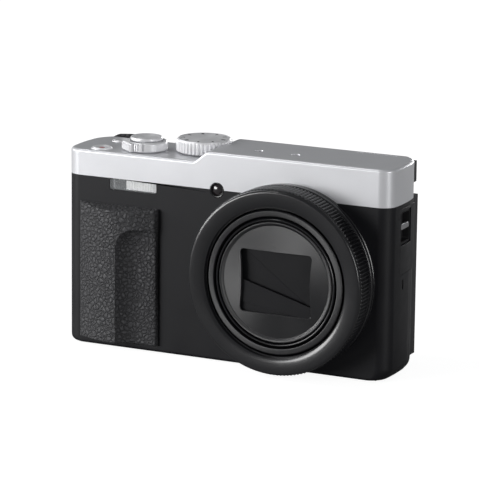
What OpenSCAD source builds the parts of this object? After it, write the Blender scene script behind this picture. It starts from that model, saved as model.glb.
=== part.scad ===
// Compact travel-zoom camera, an assembly of separate pieces.
// The front looks along -Y, +X is towards the lens side, +Z is up, z = 0 is the base.

/* [Body] */
// Width over the two sides
body_w = 112; // [110:0.5:114]
// Height of the low deck that carries the controls
deck_low = 62.9; // [62.5:0.1:63.2]
// Height of the high deck behind the silver front
deck_high = 66.4; // [66:0.1:66.8]
// Front face of the body shell along Y
front_y = -8.8; // [-9:0.1:-8.6]
// Rear face of the body shell along Y
rear_y = 17.2; // [17:0.1:17.4]
// Lower edge of the top cover
band_z = 54.6; // [54.4:0.1:54.8]
// Seam between the front and the rear cover along Y
seam_y = 3; // [2.8:0.1:3.2]
// Thickness of the covers
wall = 1.5; // [1.4:0.05:1.6]

/* [Lens] */
// Lens axis along X
lens_x = 22.3; // [22:0.1:22.6]
// Lens axis height
lens_z = 30.2; // [30:0.1:30.6]
// Outer radius of the control ring
ring_r = 29.2; // [28.8:0.1:29.4]
// Front of the control ring along Y
ring_front = -20.8; // [-21:0.1:-20.6]
// Outer radius of the outer zoom barrel
barrel_r = 22.7; // [22.5:0.1:22.8]
// Travel of each zoom barrel

/* [Monitor] */
// Width of the monitor
monitor_w = 72.4; // [72:0.1:72.6]
// Height of the monitor
monitor_h = 51; // [50.8:0.1:51.2]
// Rear face of the monitor along Y
monitor_y = 20.8; // [20.7:0.1:20.9]
// Distance between the two monitor hinge axes
arm_len = 16; // [15.5:0.5:16]

/* [Controls] */
// Radius of the mode dial
dial_r = 8.9; // [8.5:0.1:9]
// Radius of the zoom lever ring
lever_r = 6.7; // [6.5:0.1:6.8]
// Radius of the shutter button
shutter_r = 5.1; // [5:0.1:5.2]

/* [Hidden] */
half_w = body_w / 2;
gap = 0.25;
fit = 0.06;
side_bow = 60;
corner_front = 4;
corner_rear = 8.5;
top_rear_y = 14.0;
dial_at = [-14.2, 5.2];
lever_at = [-31.6, -0.5];
record_at = [-45.6, -4.0];
power_at = [-45.5, 9.2];
hole_r = 28.2;
battery_x = [-46.4, -13];
door_x = [-47, -12.4];
door_y = [-5.5, 12.3];
hinge_y = 14.9;
arm_top_z = 55;
arm_low_z = arm_top_z - arm_len;
arm_x = [0, 32];
monitor_x = [-20.2, -20.2 + monitor_w];
monitor_z = [2.5, 2.5 + monitor_h];
recess_floor = 13.4;
wheel_at = [-38.6, 22];
term_y = [4.2, 9.0];
term_z = [16, 40.4];
term_pin = [-55.2, 4.95];
blade_low_pin = [15.2, -7.9];
blade_up_pin = [-15.2, 9.4];
blade_open = [17, 8, 10, 20];

// Points of an arc about c, from angle a0 to a1
function arc(c, r, a0, a1, n) =
  [for (i = [0:n]) c + r * [cos(a0 + (a1 - a0) * i / n), sin(a0 + (a1 - a0) * i / n)]];
function mirrored(p) = [for (i = [len(p) - 1:-1:0]) [-p[i][0], p[i][1]]];

// Body outline seen from above, shrunk by d
function half_plan(d) = concat(
  arc([half_w - 4.4, front_y + corner_front], corner_front - d, -90, -6, 8),
  arc([half_w - side_bow, 0.5], side_bow - d, -4, 7, 5),
  arc([half_w - 9.0, rear_y - corner_rear], corner_rear - d, 6, 90, 10));
module plan(d = 0) {
  polygon(concat(half_plan(d), mirrored(half_plan(d))));
}

// Body outline seen from the front, shrunk by d
module face(d = 0) {
  low = deck_low - d;
  high = deck_high - d;
  edge = half_w - d;
  polygon(concat(
    arc([half_w - 4, 4], 4 - d, -90, 0, 6),
    arc([edge - 1.2, high - 1.2], 1.2, 0, 90, 4),
    [[-6.5, high], [-10.6, low]],
    arc([-edge + 1.2, low - 1.2], 1.2, 90, 180, 4),
    arc([-half_w + 2, 2], 2 - d, 180, 270, 6)));
}

// The whole body as a solid, shrunk by d
module body(d = 0) {
  intersection() {
    translate([0, 0, -1]) linear_extrude(80) plan(d);
    translate([0, 40, 0]) rotate([90, 0, 0]) linear_extrude(80) face(d);
  }
}

// A box from its low corner to its high corner
module span(a, b) {
  translate(a) cube(b - a);
}

// A cylinder along Y between y0 and y1
module bar_y(x, z, r, y0, y1) {
  translate([x, y1, z]) rotate([90, 0, 0]) cylinder(h = y1 - y0, r = r, $fn = 96);
}

// A cylinder along X between x0 and x1
module bar_x(y, z, r, x0, x1) {
  translate([x0, y, z]) rotate([0, 90, 0]) cylinder(h = x1 - x0, r = r, $fn = 48);
}

// A cylinder along Z at [x, y]
module post(at, r, z0, z1) {
  translate([at[0], at[1], z0]) cylinder(h = z1 - z0, r = r, $fn = 72);
}

// A tube on the lens axis between y0 and y1
module lens_tube(ro, ri, y0, y1) {
  difference() {
    bar_y(lens_x, lens_z, ro, y0, y1);
    bar_y(lens_x, lens_z, ri, y0 - 1, y1 + 1);
  }
}

module lens_hole(r = hole_r) {
  bar_y(lens_x, lens_z, r, front_y - 5, -2);
}

module shell() {
  difference() {
    body();
    body(wall);
  }
}

// Opening for the strap lug on one side
module lug_opening(side) {
  a = side > 0 ? half_w - 4 : -half_w - 1;
  span([a, -1.0, 41.6], [a + 5, 7.4, 52.2]);
}

module base_opening(d = 0) {
  intersection() {
    translate([0, 0, -1]) linear_extrude(wall + 1) plan(wall + d);
    span([-half_w + 4.6 + d, -20, -2], [half_w - 4.6 - d, 30, wall + 1]);
  }
}

module side_inset(d = 0) {
  intersection() {
    difference() {
      body();
      body(0.7 + d);
    }
    span([half_w - 3, -1.6 - d, 32.4 - d], [half_w + 1, 10.8 + d, 53.2 + d]);
  }
}

module flash_hole(d = 0) {
  span([-40.3 - d, front_y - 1, 51.0 - d], [-23.9 + d, front_y + 4, 54.5 + d]);
}

module lamp_hole() {
  bar_y(-2.8, 54.5, 2.45, front_y - 1, front_y + 5);
}

module front_cover() {
  color("#26262a") difference() {
    intersection() {
      shell();
      span([-60, -30, -1], [60, seam_y, band_z]);
    }
    lens_hole();
    flash_hole(0.1);
    lamp_hole();
    lug_opening(1);
    lug_opening(-1);
    base_opening();
    side_inset(0.05);
  }
}

module terminal_patch(d) {
  span([-half_w - 2, term_y[0] - d, term_z[0] - d], [-half_w + 2.6, term_y[1] + d, term_z[1] + d]);
}

module rear_button_holes() {
  for (p = rear_buttons) bar_y(p[0], p[1], p[2] + 0.2, rear_y - 6, rear_y + 1);
  bar_y(wheel_at[0], wheel_at[1], 10.0, rear_y - 6, rear_y + 1);
}
rear_buttons = [
  [-28.2, 38.6, 2.6], [-46.4, 38.6, 2.6], [-28.2, 6.9, 2.6], [-47.6, 6.9, 2.6]
];

module rear_cover() {
  color("#242428") {
    difference() {
      union() {
        intersection() {
          shell();
          union() {
            span([-60, seam_y, -1], [60, 30, band_z]);
            span([-60, top_rear_y, -1], [60, 30, 80]);
          }
        }
        intersection() {
          body(0.5);
          span([-22, recess_floor - wall, 1], [54, rear_y, band_z]);
        }
        intersection() {
          body(wall + 0.05);
          span([-22, recess_floor - wall, band_z], [54, rear_y, 58]);
        }
      }
      span([monitor_x[0] - 0.4, recess_floor, monitor_z[0] - 0.5],
           [monitor_x[1] + 0.4, rear_y + 5, arm_top_z + 1.35]);
      span([29.4, rear_y - 3.4, 56.9], [52.4, rear_y + 1, 63.8]);
      bar_y(40.9, 60.2, 4.6, rear_y - 6, rear_y + 1);
      span([21.8, rear_y - 3, 57.8], [27.4, rear_y + 1, 63.6]);
      post(dial_at, dial_r + 0.35, deck_low + 0.1, 80);
      rear_button_holes();
      lug_opening(1);
      lug_opening(-1);
      base_opening();
      side_inset(0.05);
      terminal_patch(gap);
      post(term_pin, 0.35 + fit, term_z[0] - 0.9, term_z[1] + 0.9);
    }
    hinge_lugs();
  }
}

// Lugs on the recess floor that carry the lower monitor pin
module hinge_lugs() {
  for (x = [arm_x[0] - 3.6, arm_x[1] + 0.4]) difference() {
    union() {
      bar_x(hinge_y, arm_low_z, 1.15, x, x + 3.2);
      span([x, recess_floor, arm_low_z - 1.15], [x + 3.2, hinge_y, arm_low_z + 1.15]);
    }
    bar_x(hinge_y, arm_low_z, 0.6 + fit, x - 1, x + 5);
  }
}

module top_cover() {
  color("#d9dadd") difference() {
    intersection() {
      shell();
      span([-60, -30, band_z], [60, top_rear_y, 80]);
    }
    lens_hole();
    lamp_hole();
    post(dial_at, 3.2, 60, 80);
    post(dial_at, dial_r + 0.35, deck_low + 0.1, 80);
    post(lever_at, 3.6, 60, 80);
    post(record_at, 3.3, 60, 80);
    post(power_at, 2.9, 60, 80);
    for (x = [7.4, 19.9]) post([x, -0.2], 0.45, 64, 80);
    for (i = [0:4]) span([35 + 2.8 * i, 12.3, 64], [36.9 + 2.8 * i, 13.0, 80]);
  }
}

module base_cover() {
  color("#222225") difference() {
    intersection() {
      base_opening(0.05);
      span([-60, -30, 0], [60, 30, wall]);
    }
    span([door_x[0] - 1.15, door_y[0], -1], [door_x[1], door_y[1], 3]);
    bar_y(door_x[0], 0.75, 0.45 + fit, door_y[0] - 1.2, door_y[1] + 1.2);
    post([-3.2, 4], 5.6, -1, 3);
    for (p = base_screws) post(p, 1.15, -1, 0.7);
    for (p = base_screws) post(p, 0.65, -1, 3);
  }
}
base_screws = [[-49.8, -5.0], [-49.8, 9.6], [5.2, -5.2], [47, -5.0], [47, 6.0]];

module chassis() {
  color("#9a9da2") {
    difference() {
      span([-11.6, 8.2, 1.7], [51, 9.0, 53]);
      bar_y(lens_x, lens_z, 12.2, 7, 10);
      for (x = [-6, 46]) bar_y(x, 48, 1.2, 7, 10);
    }
    difference() {
      span([-11.6, -5.6, 1.7], [3.4, 8.2, 2.5]);
      post([-3.2, 4], 4.3, 1, 3);
    }
  }
}

module tripod_socket() {
  color("#b9bbbf") difference() {
    union() {
      post([-3.2, 4], 5.5, 0, 1.6);
      post([-3.2, 4], 4.2, 1.6, 7.4);
    }
    post([-3.2, 4], 3.175, -1, 6.2);
  }
}

// Grip profile seen from above: a ridge towards the side and a finger scoop
module grip_plan(depth) {
  polygon(concat(
    [[-50.5, front_y], [-50.5, front_y - 1.0]],
    [for (i = [1:9]) [-50.5 + 15.3 * i / 10, front_y - 1 - (depth - 1) * sin(90 * i / 10)]],
    [[-35.2, front_y - depth], [-34.0, front_y - depth + 0.5]],
    [for (i = [1:6]) [-34.0 + 5.4 * i / 6, front_y - depth + 0.5 + (depth - 2.2) * i / 6]],
    [[-23, front_y - 1.6], [-23, front_y]]));
}

module front_grip() {
  color("#303034") union() {
    translate([0, 0, 2.2]) linear_extrude(36) grip_plan(5.8);
    translate([0, 0, 38]) intersection() {
      linear_extrude(8.4) polygon(concat(
        [[-50.5, front_y], [-50.5, front_y - 1.0]],
        [for (i = [1:10]) [-50.5 + 15.3 * i / 10, front_y - 1 - 4.8 * sin(90 * i / 10)]],
        [[-31.5, front_y - 5.4], [-23, front_y - 2.4], [-23, front_y]]));
      translate([-60, front_y + 0.01, 0]) rotate([90, 0, 90]) linear_extrude(60)
        polygon([[0.1, 0], [-6, 0], [-6, 7.3], [-0.8, 8.4], [0.1, 8.4]]);
    }
  }
}

module thumb_rest() {
  color("#2c2c30") difference() {
    union() {
      intersection() {
        body(-0.7);
        span([-53.4, 10, 47.4], [-29.4, 30, 61.4]);
      }
      translate([0, 0, 49]) linear_extrude(14.6) polygon([
        [-53.4, 13.6], [-53, rear_y - 1], [-51, rear_y + 2.2], [-45, rear_y + 3.6],
        [-41, rear_y + 3.2], [-34, rear_y + 0.7], [-34, 13.6]]);
    }
    body();
    span([-60, 0, deck_low - 0.5], [0, 15.6, 80]);
  }
}

module side_plate() {
  color("#2e2e33") difference() {
    side_inset();
    lug_opening(1);
  }
}

module lug(side) {
  x = side > 0 ? half_w - 3.4 : -half_w + 0.7;
  difference() {
    span([x, -0.9, 41.7], [x + 2.7, 7.3, 52.1]);
    span([side > 0 ? x + 0.6 : x - 1, -0.1, 42.5], [side > 0 ? x + 4 : x + 2.1, 6.5, 51.3]);
  }
  span([side > 0 ? x + 1.2 : x + 0.1, -0.9, 45.9], [side > 0 ? x + 2.6 : x + 1.5, 7.3, 48.1]);
}

module strap_lugs() {
  color("#c6c8cc") {
    lug(1);
    lug(-1);
  }
}

module case_screws() {
  color("#55565a") for (p = base_screws) {
    difference() {
      post(p, 1.1, 0.05, 0.7);
      span([p[0] - 0.7, p[1] - 0.13, -1], [p[0] + 0.7, p[1] + 0.13, 0.35]);
      span([p[0] - 0.13, p[1] - 0.7, -1], [p[0] + 0.13, p[1] + 0.7, 0.35]);
    }
    post(p, 0.6, 0.7, 3.8);
  }
}

module flash_window() {
  color("#dfe3e6") intersection() {
    body(0.05);
    flash_hole(0);
    span([-60, front_y - 1, 0], [0, front_y + 1.2, 80]);
  }
}

module flash_unit() {
  color("#c9ccd0") difference() {
    span([-40.2, front_y + 1.6, 49.8], [-24, front_y + 6.3, 56.4]);
    translate([-39.4, front_y + 1.2, 50.4]) cube([14.6, 3.8, 5.4]);
  }
  color("#eef0f2") bar_x(front_y + 3.4, 53.1, 0.8, -39.4, -24.8);
}

module flash_capacitor() {
  color("#2b3140") bar_x(-1.0, 58.2, 3.2, -5.4, 8.6);
}

module af_lamp() {
  color("#3a3030") union() {
    bar_y(-2.8, 54.5, 2.3, front_y - 0.1, front_y + 2.2);
    bar_y(-2.8, 54.5, 1.7, front_y + 2.2, front_y + 4.2);
  }
}

module lens_flange() {
  color("#2a2a2e") union() {
    lens_tube(29.0, 23.2, front_y - 1.6, front_y);
    lens_tube(28.0, 23.2, front_y, -6.2);
    lens_tube(24.9, 23.2, ring_front + 1.5, front_y - 1.6);
  }
}

module lens_housing() {
  color("#3a3b40") union() {
    lens_tube(27.2, 25.6, -6.1, 7.0);
    lens_tube(27.2, 11.9, 7.0, 8.1);
  }
}

module rear_lens_group() {
  color("#7f93a0") union() {
    bar_y(lens_x, lens_z, 11.8, 5.2, 8.0);
    intersection() {
      bar_y(lens_x, lens_z, 8.6, 2.6, 5.2);
      translate([lens_x, 18.4, lens_z]) sphere(r = 15.4, $fn = 96);
    }
  }
}

module image_sensor() {
  color("#47585c") span([lens_x - 7.4, 8.3, lens_z - 6.2], [lens_x + 7.4, 9.4, lens_z + 6.2]);
}

module main_board() {
  color("#1f5a3a") span([-10.8, 9.9, 4], [50.6, 10.9, 52]);
  color("#2a2a2a") span([-2, 10.9, 12], [12, 11.7, 26]);
  color("#2a2a2a") span([26, 10.9, 34], [36, 11.7, 44]);
  color("#b8b8b8") for (z = [21, 32]) difference() {
    span([-54.0, 4.8, z], [-47.6, 8.6, z + 8]);
    span([-55, 5.3, z + 0.6], [-49, 8.1, z + 7.4]);
  }
}

module battery_case() {
  color("#44464a") difference() {
    span([battery_x[0], -7.0, 2.6], [battery_x[1], 7.4, 45.4]);
    span([battery_x[0] + 1, -6.0, 1], [battery_x[1] - 1, 6.4, 44.4]);
  }
}

module battery_pack() {
  color("#35363a") difference() {
    span([battery_x[0] + 1.3, -5.7, 2.9], [battery_x[1] - 1.3, 6.1, 43.6]);
    for (i = [0:2]) span([-38 + 4 * i, -6, 42.4], [-35.6 + 4 * i, -3.6, 44]);
  }
}

module card_slot() {
  color("#a7a9ad") difference() {
    span([-45.4, 7.8, 3.0], [-18.6, 11.6, 38]);
    span([-44.3, 8.6, 1], [-19.7, 11.0, 36.5]);
  }
}

module memory_card() {
  color("#2f4f74") translate([0, 8.75, 0]) translate([0, 2.1, 0]) rotate([90, 0, 0])
    linear_extrude(2.1) polygon([[-44, 3.2], [-20, 3.2], [-20, 35.2], [-41, 35.2], [-44, 32.2]]);
}

module zoom_motor() {
  color("#8b8d92") union() {
    bar_y(-7.6, 12, 3.4, -6.6, 2.0);
    span([-11.4, 2.0, 8.2], [-3.8, 6.6, 21.4]);
  }
}

module speaker() {
  color("#3b3b3e") union() {
    span([34, -6.4, 59.0], [49.4, 0.8, 62.4]);
    span([35.4, -5.6, 62.4], [48, 0, 63.4]);
  }
}

module button_board() {
  color("#1e553a") {
    span([-51.6, 12.4, 4], [-23.4, 13.0, 44]);
    span([-50, -5.8, 59.2], [-6, 10.4, 59.9]);
  }
}

module viewfinder_unit() {
  color("#2d2d31") difference() {
    span([30.4, 1.4, 56.5], [51.2, 7.6, 64.4]);
    span([32.4, 0.4, 57.7], [49.2, 3.4, 63.2]);
  }
  color("#2d2d31") bar_y(40.9, 60.2, 4.2, 7.6, 12.4);
}

module eyepiece_frame() {
  color("#27272a") difference() {
    union() {
      span([29.6, rear_y - 3.2, 57.1], [52.2, rear_y, 63.6]);
      span([29.0, rear_y, 57.4], [51.6, monitor_y, 64.0]);
    }
    span([32.2, rear_y - 1.8, 57.9], [49.6, monitor_y + 1, 62.8]);
    bar_y(40.9, 60.2, 4.6, 0, rear_y + 1);
  }
}

module eyepiece_lens() {
  color("#5d6a72") intersection() {
    bar_y(40.9, 60.2, 4.4, 12.5, 15.8);
    translate([40.9, 5.8, 60.2]) sphere(r = 10.6, $fn = 96);
  }
}

module shutter_button() {
  color("#d3d4d7") union() {
    post(lever_at, shutter_r, 66.3, 67.4);
    post(lever_at, 2.0, 60.9, 66.3);
  }
}

module zoom_lever() {
  color("#cfd0d3") difference() {
    union() {
      post(lever_at, lever_r, deck_low + 0.3, 66.2);
      translate([lever_at[0], lever_at[1], deck_low + 0.3]) rotate([0, 0, 232])
        translate([3, -3.2, 0]) cube([4.4, 6.4, 3]);
      post(lever_at, 3.5, 60.4, deck_low + 0.3);
    }
    post(lever_at, shutter_r + 0.25, 65.0, 70);
    post(lever_at, 2.0 + fit, 50, 70);
  }
}

module mode_dial() {
  color("#cdced1") difference() {
    union() {
      post(dial_at, dial_r - 0.5, 67.0, 67.6);
      post(dial_at, dial_r, deck_low + 0.4, 67.0);
      post(dial_at, 3.1, 60.2, deck_low + 0.4);
    }
    for (i = [0:47]) rotate_about(dial_at, i * 7.5)
      translate([dial_r + 0.22, 0, 60]) cylinder(h = 9, r = 0.42, $fn = 16);
  }
}

module rotate_about(at, a) {
  translate([at[0], at[1], 0]) rotate([0, 0, a]) children();
}

module record_button() {
  color("#c9cacd") difference() {
    post(record_at, 3.1, 60.4, deck_low + 0.5);
    translate([record_at[0], record_at[1], deck_low + 5.4]) sphere(r = 5.3, $fn = 72);
  }
}

module power_button() {
  color("#c9cacd") difference() {
    post(power_at, 2.7, 60.4, deck_low + 0.4);
    translate([power_at[0], power_at[1], deck_low + 6.2]) sphere(r = 6.1, $fn = 72);
  }
}

module control_ring() {
  color("#2b2b30") difference() {
    union() {
      lens_tube(ring_r, 24.9 + fit, ring_front + 1.4, front_y - 1.8);
      lens_tube(ring_r - 0.3, 23.9, ring_front, ring_front + 1.4);
    }
    for (i = [0:59]) translate([lens_x, 0, lens_z]) rotate([0, i * 6, 0])
      translate([ring_r + 0.2, front_y - 3.6, 0]) rotate([90, 0, 0])
        cylinder(h = 6.2, r = 0.5, $fn = 16);
  }
}

module cam_ring() {
  color("#6d6f75") difference() {
    lens_tube(25.3, 23.6, -6.0, 6.8);
    for (a = [20, 140, 260]) translate([lens_x, 0, lens_z]) rotate([0, a, 0])
      translate([22, -4.6, -1]) cube([5, 8.8, 2]);
  }
}

module outer_barrel() {
  color("#303035") union() {
    lens_tube(barrel_r, 20.6, -19.7, 4.4);
    lens_tube(23.1, 22.6, 2.4, 4.4);
  }
}

module inner_barrel() {
  color("#2c2c31") union() {
    lens_tube(20.4, 19.3, -19.6, 4.0);
    lens_tube(19.4, 14.0, -14.4, -13.4);
  }
}

module name_plate() {
  color("#26262a") difference() {
    bar_y(lens_x, lens_z, 18.95, -19.4, -18.2);
    translate([lens_x - 12.2, -25, lens_z - 10.2]) cube([24.4, 10, 19.8]);
  }
}

module front_lens() {
  color("#31414f") intersection() {
    bar_y(lens_x, lens_z, 13.6, -16.2, -10.8);
    translate([lens_x, 8.6, lens_z]) sphere(r = 24.8, $fn = 96);
  }
}

// Half plane of the barrier above (up = 1) or below (up = -1) a line through p at angle a
module half_plane(p, a, up) {
  translate(p) rotate(a) translate([-60, up > 0 ? 0 : -80]) square([120, 80]);
}

// A barrier blade: a region of the disc that stays in the disc when it has turned
module blade(i, pin) {
  translate([lens_x, -17.8 + 0.42 * i, lens_z]) rotate([90, 0, 0])
    linear_extrude(0.3) difference() {
      intersection() {
        circle(r = 18.8, $fn = 96);
        translate(pin) rotate(-blade_open[i]) translate(-pin) circle(r = 18.8, $fn = 96);
        children();
      }
      translate(pin) circle(r = 0.7, $fn = 24);
    }
}

module barrier_blade_1() {
  color("#28282c") blade(0, blade_low_pin) intersection() {
    half_plane([-11.5, -0.3], -15.7, -1);
    half_plane([-11.4, -7.4], -9.3, 1);
  }
}

module barrier_blade_2() {
  color("#28282c") blade(1, blade_low_pin) half_plane([-11.4, -5.6], -9.3, -1);
}

module barrier_blade_3() {
  color("#28282c") blade(2, blade_up_pin) half_plane([-1.3, 1.8], -36.4, 1);
}

module barrier_blade_4() {
  color("#28282c") blade(3, blade_up_pin) intersection() {
    half_plane([-11.5, -2.4], -15.7, 1);
    half_plane([-1.3, 4.4], -36.4, -1);
  }
}

module monitor_arm() {
  color("#4b4d52") difference() {
    union() {
      bar_x(hinge_y, arm_low_z, 1.15, arm_x[0], arm_x[1]);
      bar_x(hinge_y, arm_top_z, 1.15, arm_x[0], arm_x[1]);
      span([arm_x[0], hinge_y, arm_low_z], [arm_x[1], hinge_y + 1.1, arm_top_z]);
    }
    bar_x(hinge_y, arm_low_z, 0.6, arm_x[0] - 1, arm_x[1] + 1);
    bar_x(hinge_y, arm_top_z, 0.6, arm_x[0] - 1, arm_x[1] + 1);
  }
}

module hinge_pins() {
  color("#c0c2c6") {
    bar_x(hinge_y, arm_low_z, 0.6, arm_x[0] - 3.4, arm_x[1] + 3.4);
    bar_x(hinge_y, arm_top_z, 0.6, arm_x[0] - 3.4, arm_x[1] + 3.4);
  }
}

module monitor_frame() {
  color("#232327") {
    difference() {
      span([monitor_x[0], 16.4, monitor_z[0]], [monitor_x[1], monitor_y, monitor_z[1]]);
      span([monitor_x[0] + 1, monitor_y - 1.2, monitor_z[0] + 1],
           [monitor_x[1] - 1, monitor_y + 1, monitor_z[1] - 1]);
    }
    for (x = [arm_x[0] - 3.6, arm_x[1] + 0.4]) difference() {
      union() {
        bar_x(hinge_y, arm_top_z, 1.15, x, x + 3.2);
        span([x, hinge_y, arm_top_z - 1.15], [x + 3.2, hinge_y + 2.6, arm_top_z + 0.7]);
        span([x, 15.6, monitor_z[1] - 2], [x + 3.2, hinge_y + 2.6, arm_top_z]);
      }
      bar_x(hinge_y, arm_top_z, 0.6 + fit, x - 1, x + 5);
    }
  }
}

module monitor_glass() {
  color("#15161a") span([monitor_x[0] + 1.1, monitor_y - 1.2, monitor_z[0] + 1.1],
                        [monitor_x[1] - 1.1, monitor_y - 0.1, monitor_z[1] - 1.1]);
}

module diopter_dial() {
  color("#2f2f33") bar_y(24.6, 60.7, 2.3, rear_y - 2.8, rear_y + 1.2);
}

module rear_dial() {
  color("#2d2d31") difference() {
    union() {
      bar_y(wheel_at[0], wheel_at[1], 9.7, rear_y - 1.6, rear_y + 1.0);
      bar_y(wheel_at[0], wheel_at[1], 7.0, rear_y - 3.4, rear_y - 1.6);
    }
    bar_y(wheel_at[0], wheel_at[1], 4.6, rear_y - 5, rear_y + 3);
    for (i = [0:35]) translate([wheel_at[0], 0, wheel_at[1]]) rotate([0, i * 10, 0])
      translate([9.9, rear_y + 2, 0]) rotate([90, 0, 0]) cylinder(h = 5, r = 0.4, $fn = 16);
  }
}

module set_button() {
  color("#303035") bar_y(wheel_at[0], wheel_at[1], 4.4, rear_y - 3.4, rear_y + 1.3);
}

module rear_button(i) {
  p = rear_buttons[i];
  color("#303035") bar_y(p[0], p[1], p[2], rear_y - 3.4, rear_y + 0.8);
}

module play_button() {
  rear_button(0);
}

module menu_button() {
  rear_button(1);
}

module delete_button() {
  rear_button(2);
}

module display_button() {
  rear_button(3);
}

module battery_door() {
  color("#232326") difference() {
    union() {
      span([door_x[0], door_y[0] + gap, 0], [door_x[1] - gap, door_y[1] - gap, wall]);
      bar_y(door_x[0], 0.75, 0.75, door_y[0] + gap, door_y[1] - gap);
      bar_y(door_x[0], 0.75, 0.45, door_y[0] - 1.0, door_y[1] + 1.0);
    }
    span([-22, 1.2, -1], [-15, 5.6, 1.0]);
  }
}

module door_lock() {
  color("#3c3c41") difference() {
    span([-19.6, 1.4, 0.1], [-15.2, 5.4, 0.9]);
    for (i = [0:3]) span([-18.8 + i, 2, 0], [-18.4 + i, 4.8, 0.4]);
  }
}

module terminal_door() {
  color("#27272b") union() {
    intersection() {
      difference() {
        body();
        body(1.2);
      }
      span([-60, term_pin[1], term_z[0]], [-50, term_y[1], term_z[1]]);
    }
    post(term_pin, 0.62, term_z[0], term_z[1]);
    post(term_pin, 0.35, term_z[0] - 0.8, term_z[1] + 0.8);
  }
}

front_cover();
rear_cover();
top_cover();
base_cover();
chassis();
tripod_socket();
front_grip();
thumb_rest();
side_plate();
strap_lugs();
case_screws();
flash_window();
flash_unit();
flash_capacitor();
af_lamp();
lens_flange();
lens_housing();
rear_lens_group();
image_sensor();
main_board();
battery_case();
battery_pack();
card_slot();
memory_card();
zoom_motor();
speaker();
button_board();
viewfinder_unit();
eyepiece_frame();
eyepiece_lens();
shutter_button();
zoom_lever();
mode_dial();
record_button();
power_button();
control_ring();
cam_ring();
outer_barrel();
inner_barrel();
name_plate();
front_lens();
barrier_blade_1();
barrier_blade_2();
barrier_blade_3();
barrier_blade_4();
monitor_arm();
hinge_pins();
monitor_frame();
monitor_glass();
diopter_dial();
rear_dial();
set_button();
play_button();
delete_button();
display_button();
menu_button();
battery_door();
door_lock();
terminal_door();
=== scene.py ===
"""Outer pieces and finishes of a compact digital camera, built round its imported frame."""
import math

import bmesh
import bpy
from bpy.props import FloatProperty, FloatVectorProperty, IntProperty, PointerProperty
from mathutils import Matrix, Vector, noise


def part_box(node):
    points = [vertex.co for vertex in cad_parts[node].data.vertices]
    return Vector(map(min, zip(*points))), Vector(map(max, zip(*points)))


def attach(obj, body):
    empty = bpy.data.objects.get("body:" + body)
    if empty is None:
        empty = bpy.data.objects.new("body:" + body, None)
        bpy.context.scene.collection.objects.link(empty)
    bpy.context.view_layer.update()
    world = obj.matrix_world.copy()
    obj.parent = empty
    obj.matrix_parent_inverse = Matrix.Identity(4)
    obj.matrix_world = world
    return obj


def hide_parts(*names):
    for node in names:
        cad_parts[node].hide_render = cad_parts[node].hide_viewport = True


bl_info = {
    "name": "Pocket Camera",
    "version": (1, 0, 0),
    "blender": (4, 5, 0),
    "location": "View3D > Sidebar > Pocket Camera",
    "description": "Builds the shells, lens, controls and finishes of a compact digital camera",
    "category": "Object",
}

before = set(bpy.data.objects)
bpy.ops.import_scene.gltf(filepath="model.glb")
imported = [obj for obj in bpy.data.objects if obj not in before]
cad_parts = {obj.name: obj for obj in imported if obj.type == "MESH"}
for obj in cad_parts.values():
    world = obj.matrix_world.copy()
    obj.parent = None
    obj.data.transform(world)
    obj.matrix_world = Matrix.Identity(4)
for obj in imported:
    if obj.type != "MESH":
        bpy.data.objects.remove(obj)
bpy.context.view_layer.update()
MM = 0.001


def node_box(node):
    """Lowest and highest corner of a frame node, in millimetres."""
    lo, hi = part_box(node)
    return lo / MM, hi / MM


def node_round(node):
    """Lowest and highest corner of a round frame node, and its radius, in millimetres."""
    lo, hi = node_box(node)
    return lo, hi, (hi.x - lo.x) / 2


def node_centre(node):
    """Middle of a frame node's box, in millimetres."""
    lo, hi = node_box(node)
    return (lo + hi) / 2


TOP_LO, TOP_HI = node_box("top_cover")
HALF_W = TOP_HI.x
FRONT_Y = TOP_LO.y
BAND_Z = TOP_LO.z
DECK_HIGH = TOP_HI.z
TOP_REAR_Y = TOP_HI.y
SEAM_Y = node_box("front_cover")[1].y
REAR_Y = FRONT_Y + 26.0
MID_Y = (FRONT_Y + REAR_Y) / 2
DECK_LOW = node_box("record_button")[1].z - 0.5
STEP_X = (-10.6, -6.5)
FRONT_CORNER, REAR_CORNER = 4.0, 8.5
SIDE_BOW = 120.0
DIAL_WELL = 9.25
MICROPHONES = (7.4, 19.9)
ARM_PIVOT = (0, 14.9, 39.0)
BLADE_EDGE = 0.3
TURNING_PITCH = 0.16
GRAIN_DEPTH = 0.09
GRIP_RIDGE = (-35.2, 39.7)
GRIP_ARCH = 6.0
WALL = 1.5
FAR = 70
SPEAKER_X, SLOT_WIDTH, SLOT_PITCH = 35, 1.9, 2.8
VIEW_SHIFT = (4.85, 4.88)
VIEW_DISTANCE = 1000.0
VIEW_LENS = 241.65
LENS = node_centre("control_ring")
LENS_X, LENS_Z = LENS.x, LENS.z
LENS_AT = (LENS_X, 0, LENS_Z)
LENS_BORE = 28.2
RING_LO, RING_HI = node_box("control_ring")
BARREL_LO, BARREL_HI = node_box("outer_barrel")
INNER_LO, INNER_HI = node_box("inner_barrel")
PLATE_LO, PLATE_HI = node_box("name_plate")
DIAL = node_centre("mode_dial")
SHUTTER = node_centre("shutter_button")
RECORD = node_centre("record_button")
POWER = node_centre("power_button")
MONITOR_LO, MONITOR_HI = node_box("monitor_frame")
WHEEL = node_centre("rear_dial")


# ---------------------------------------------------------------- settings


def colour(name, description, default):
    """A colour setting."""
    return FloatVectorProperty(name=name, description=description, subtype="COLOR", default=default)


def number(name, description, default, lo, hi):
    """A plain number or a length in mm, with its limits."""
    return FloatProperty(name=name, description=description, default=default, min=lo, max=hi)


def watts(which, default):
    """The power of a light."""
    about = f"Power of the {which.lower()} light in watts"
    return FloatProperty(name=which + " light", description=about, default=default, min=0, unit="POWER")


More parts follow.
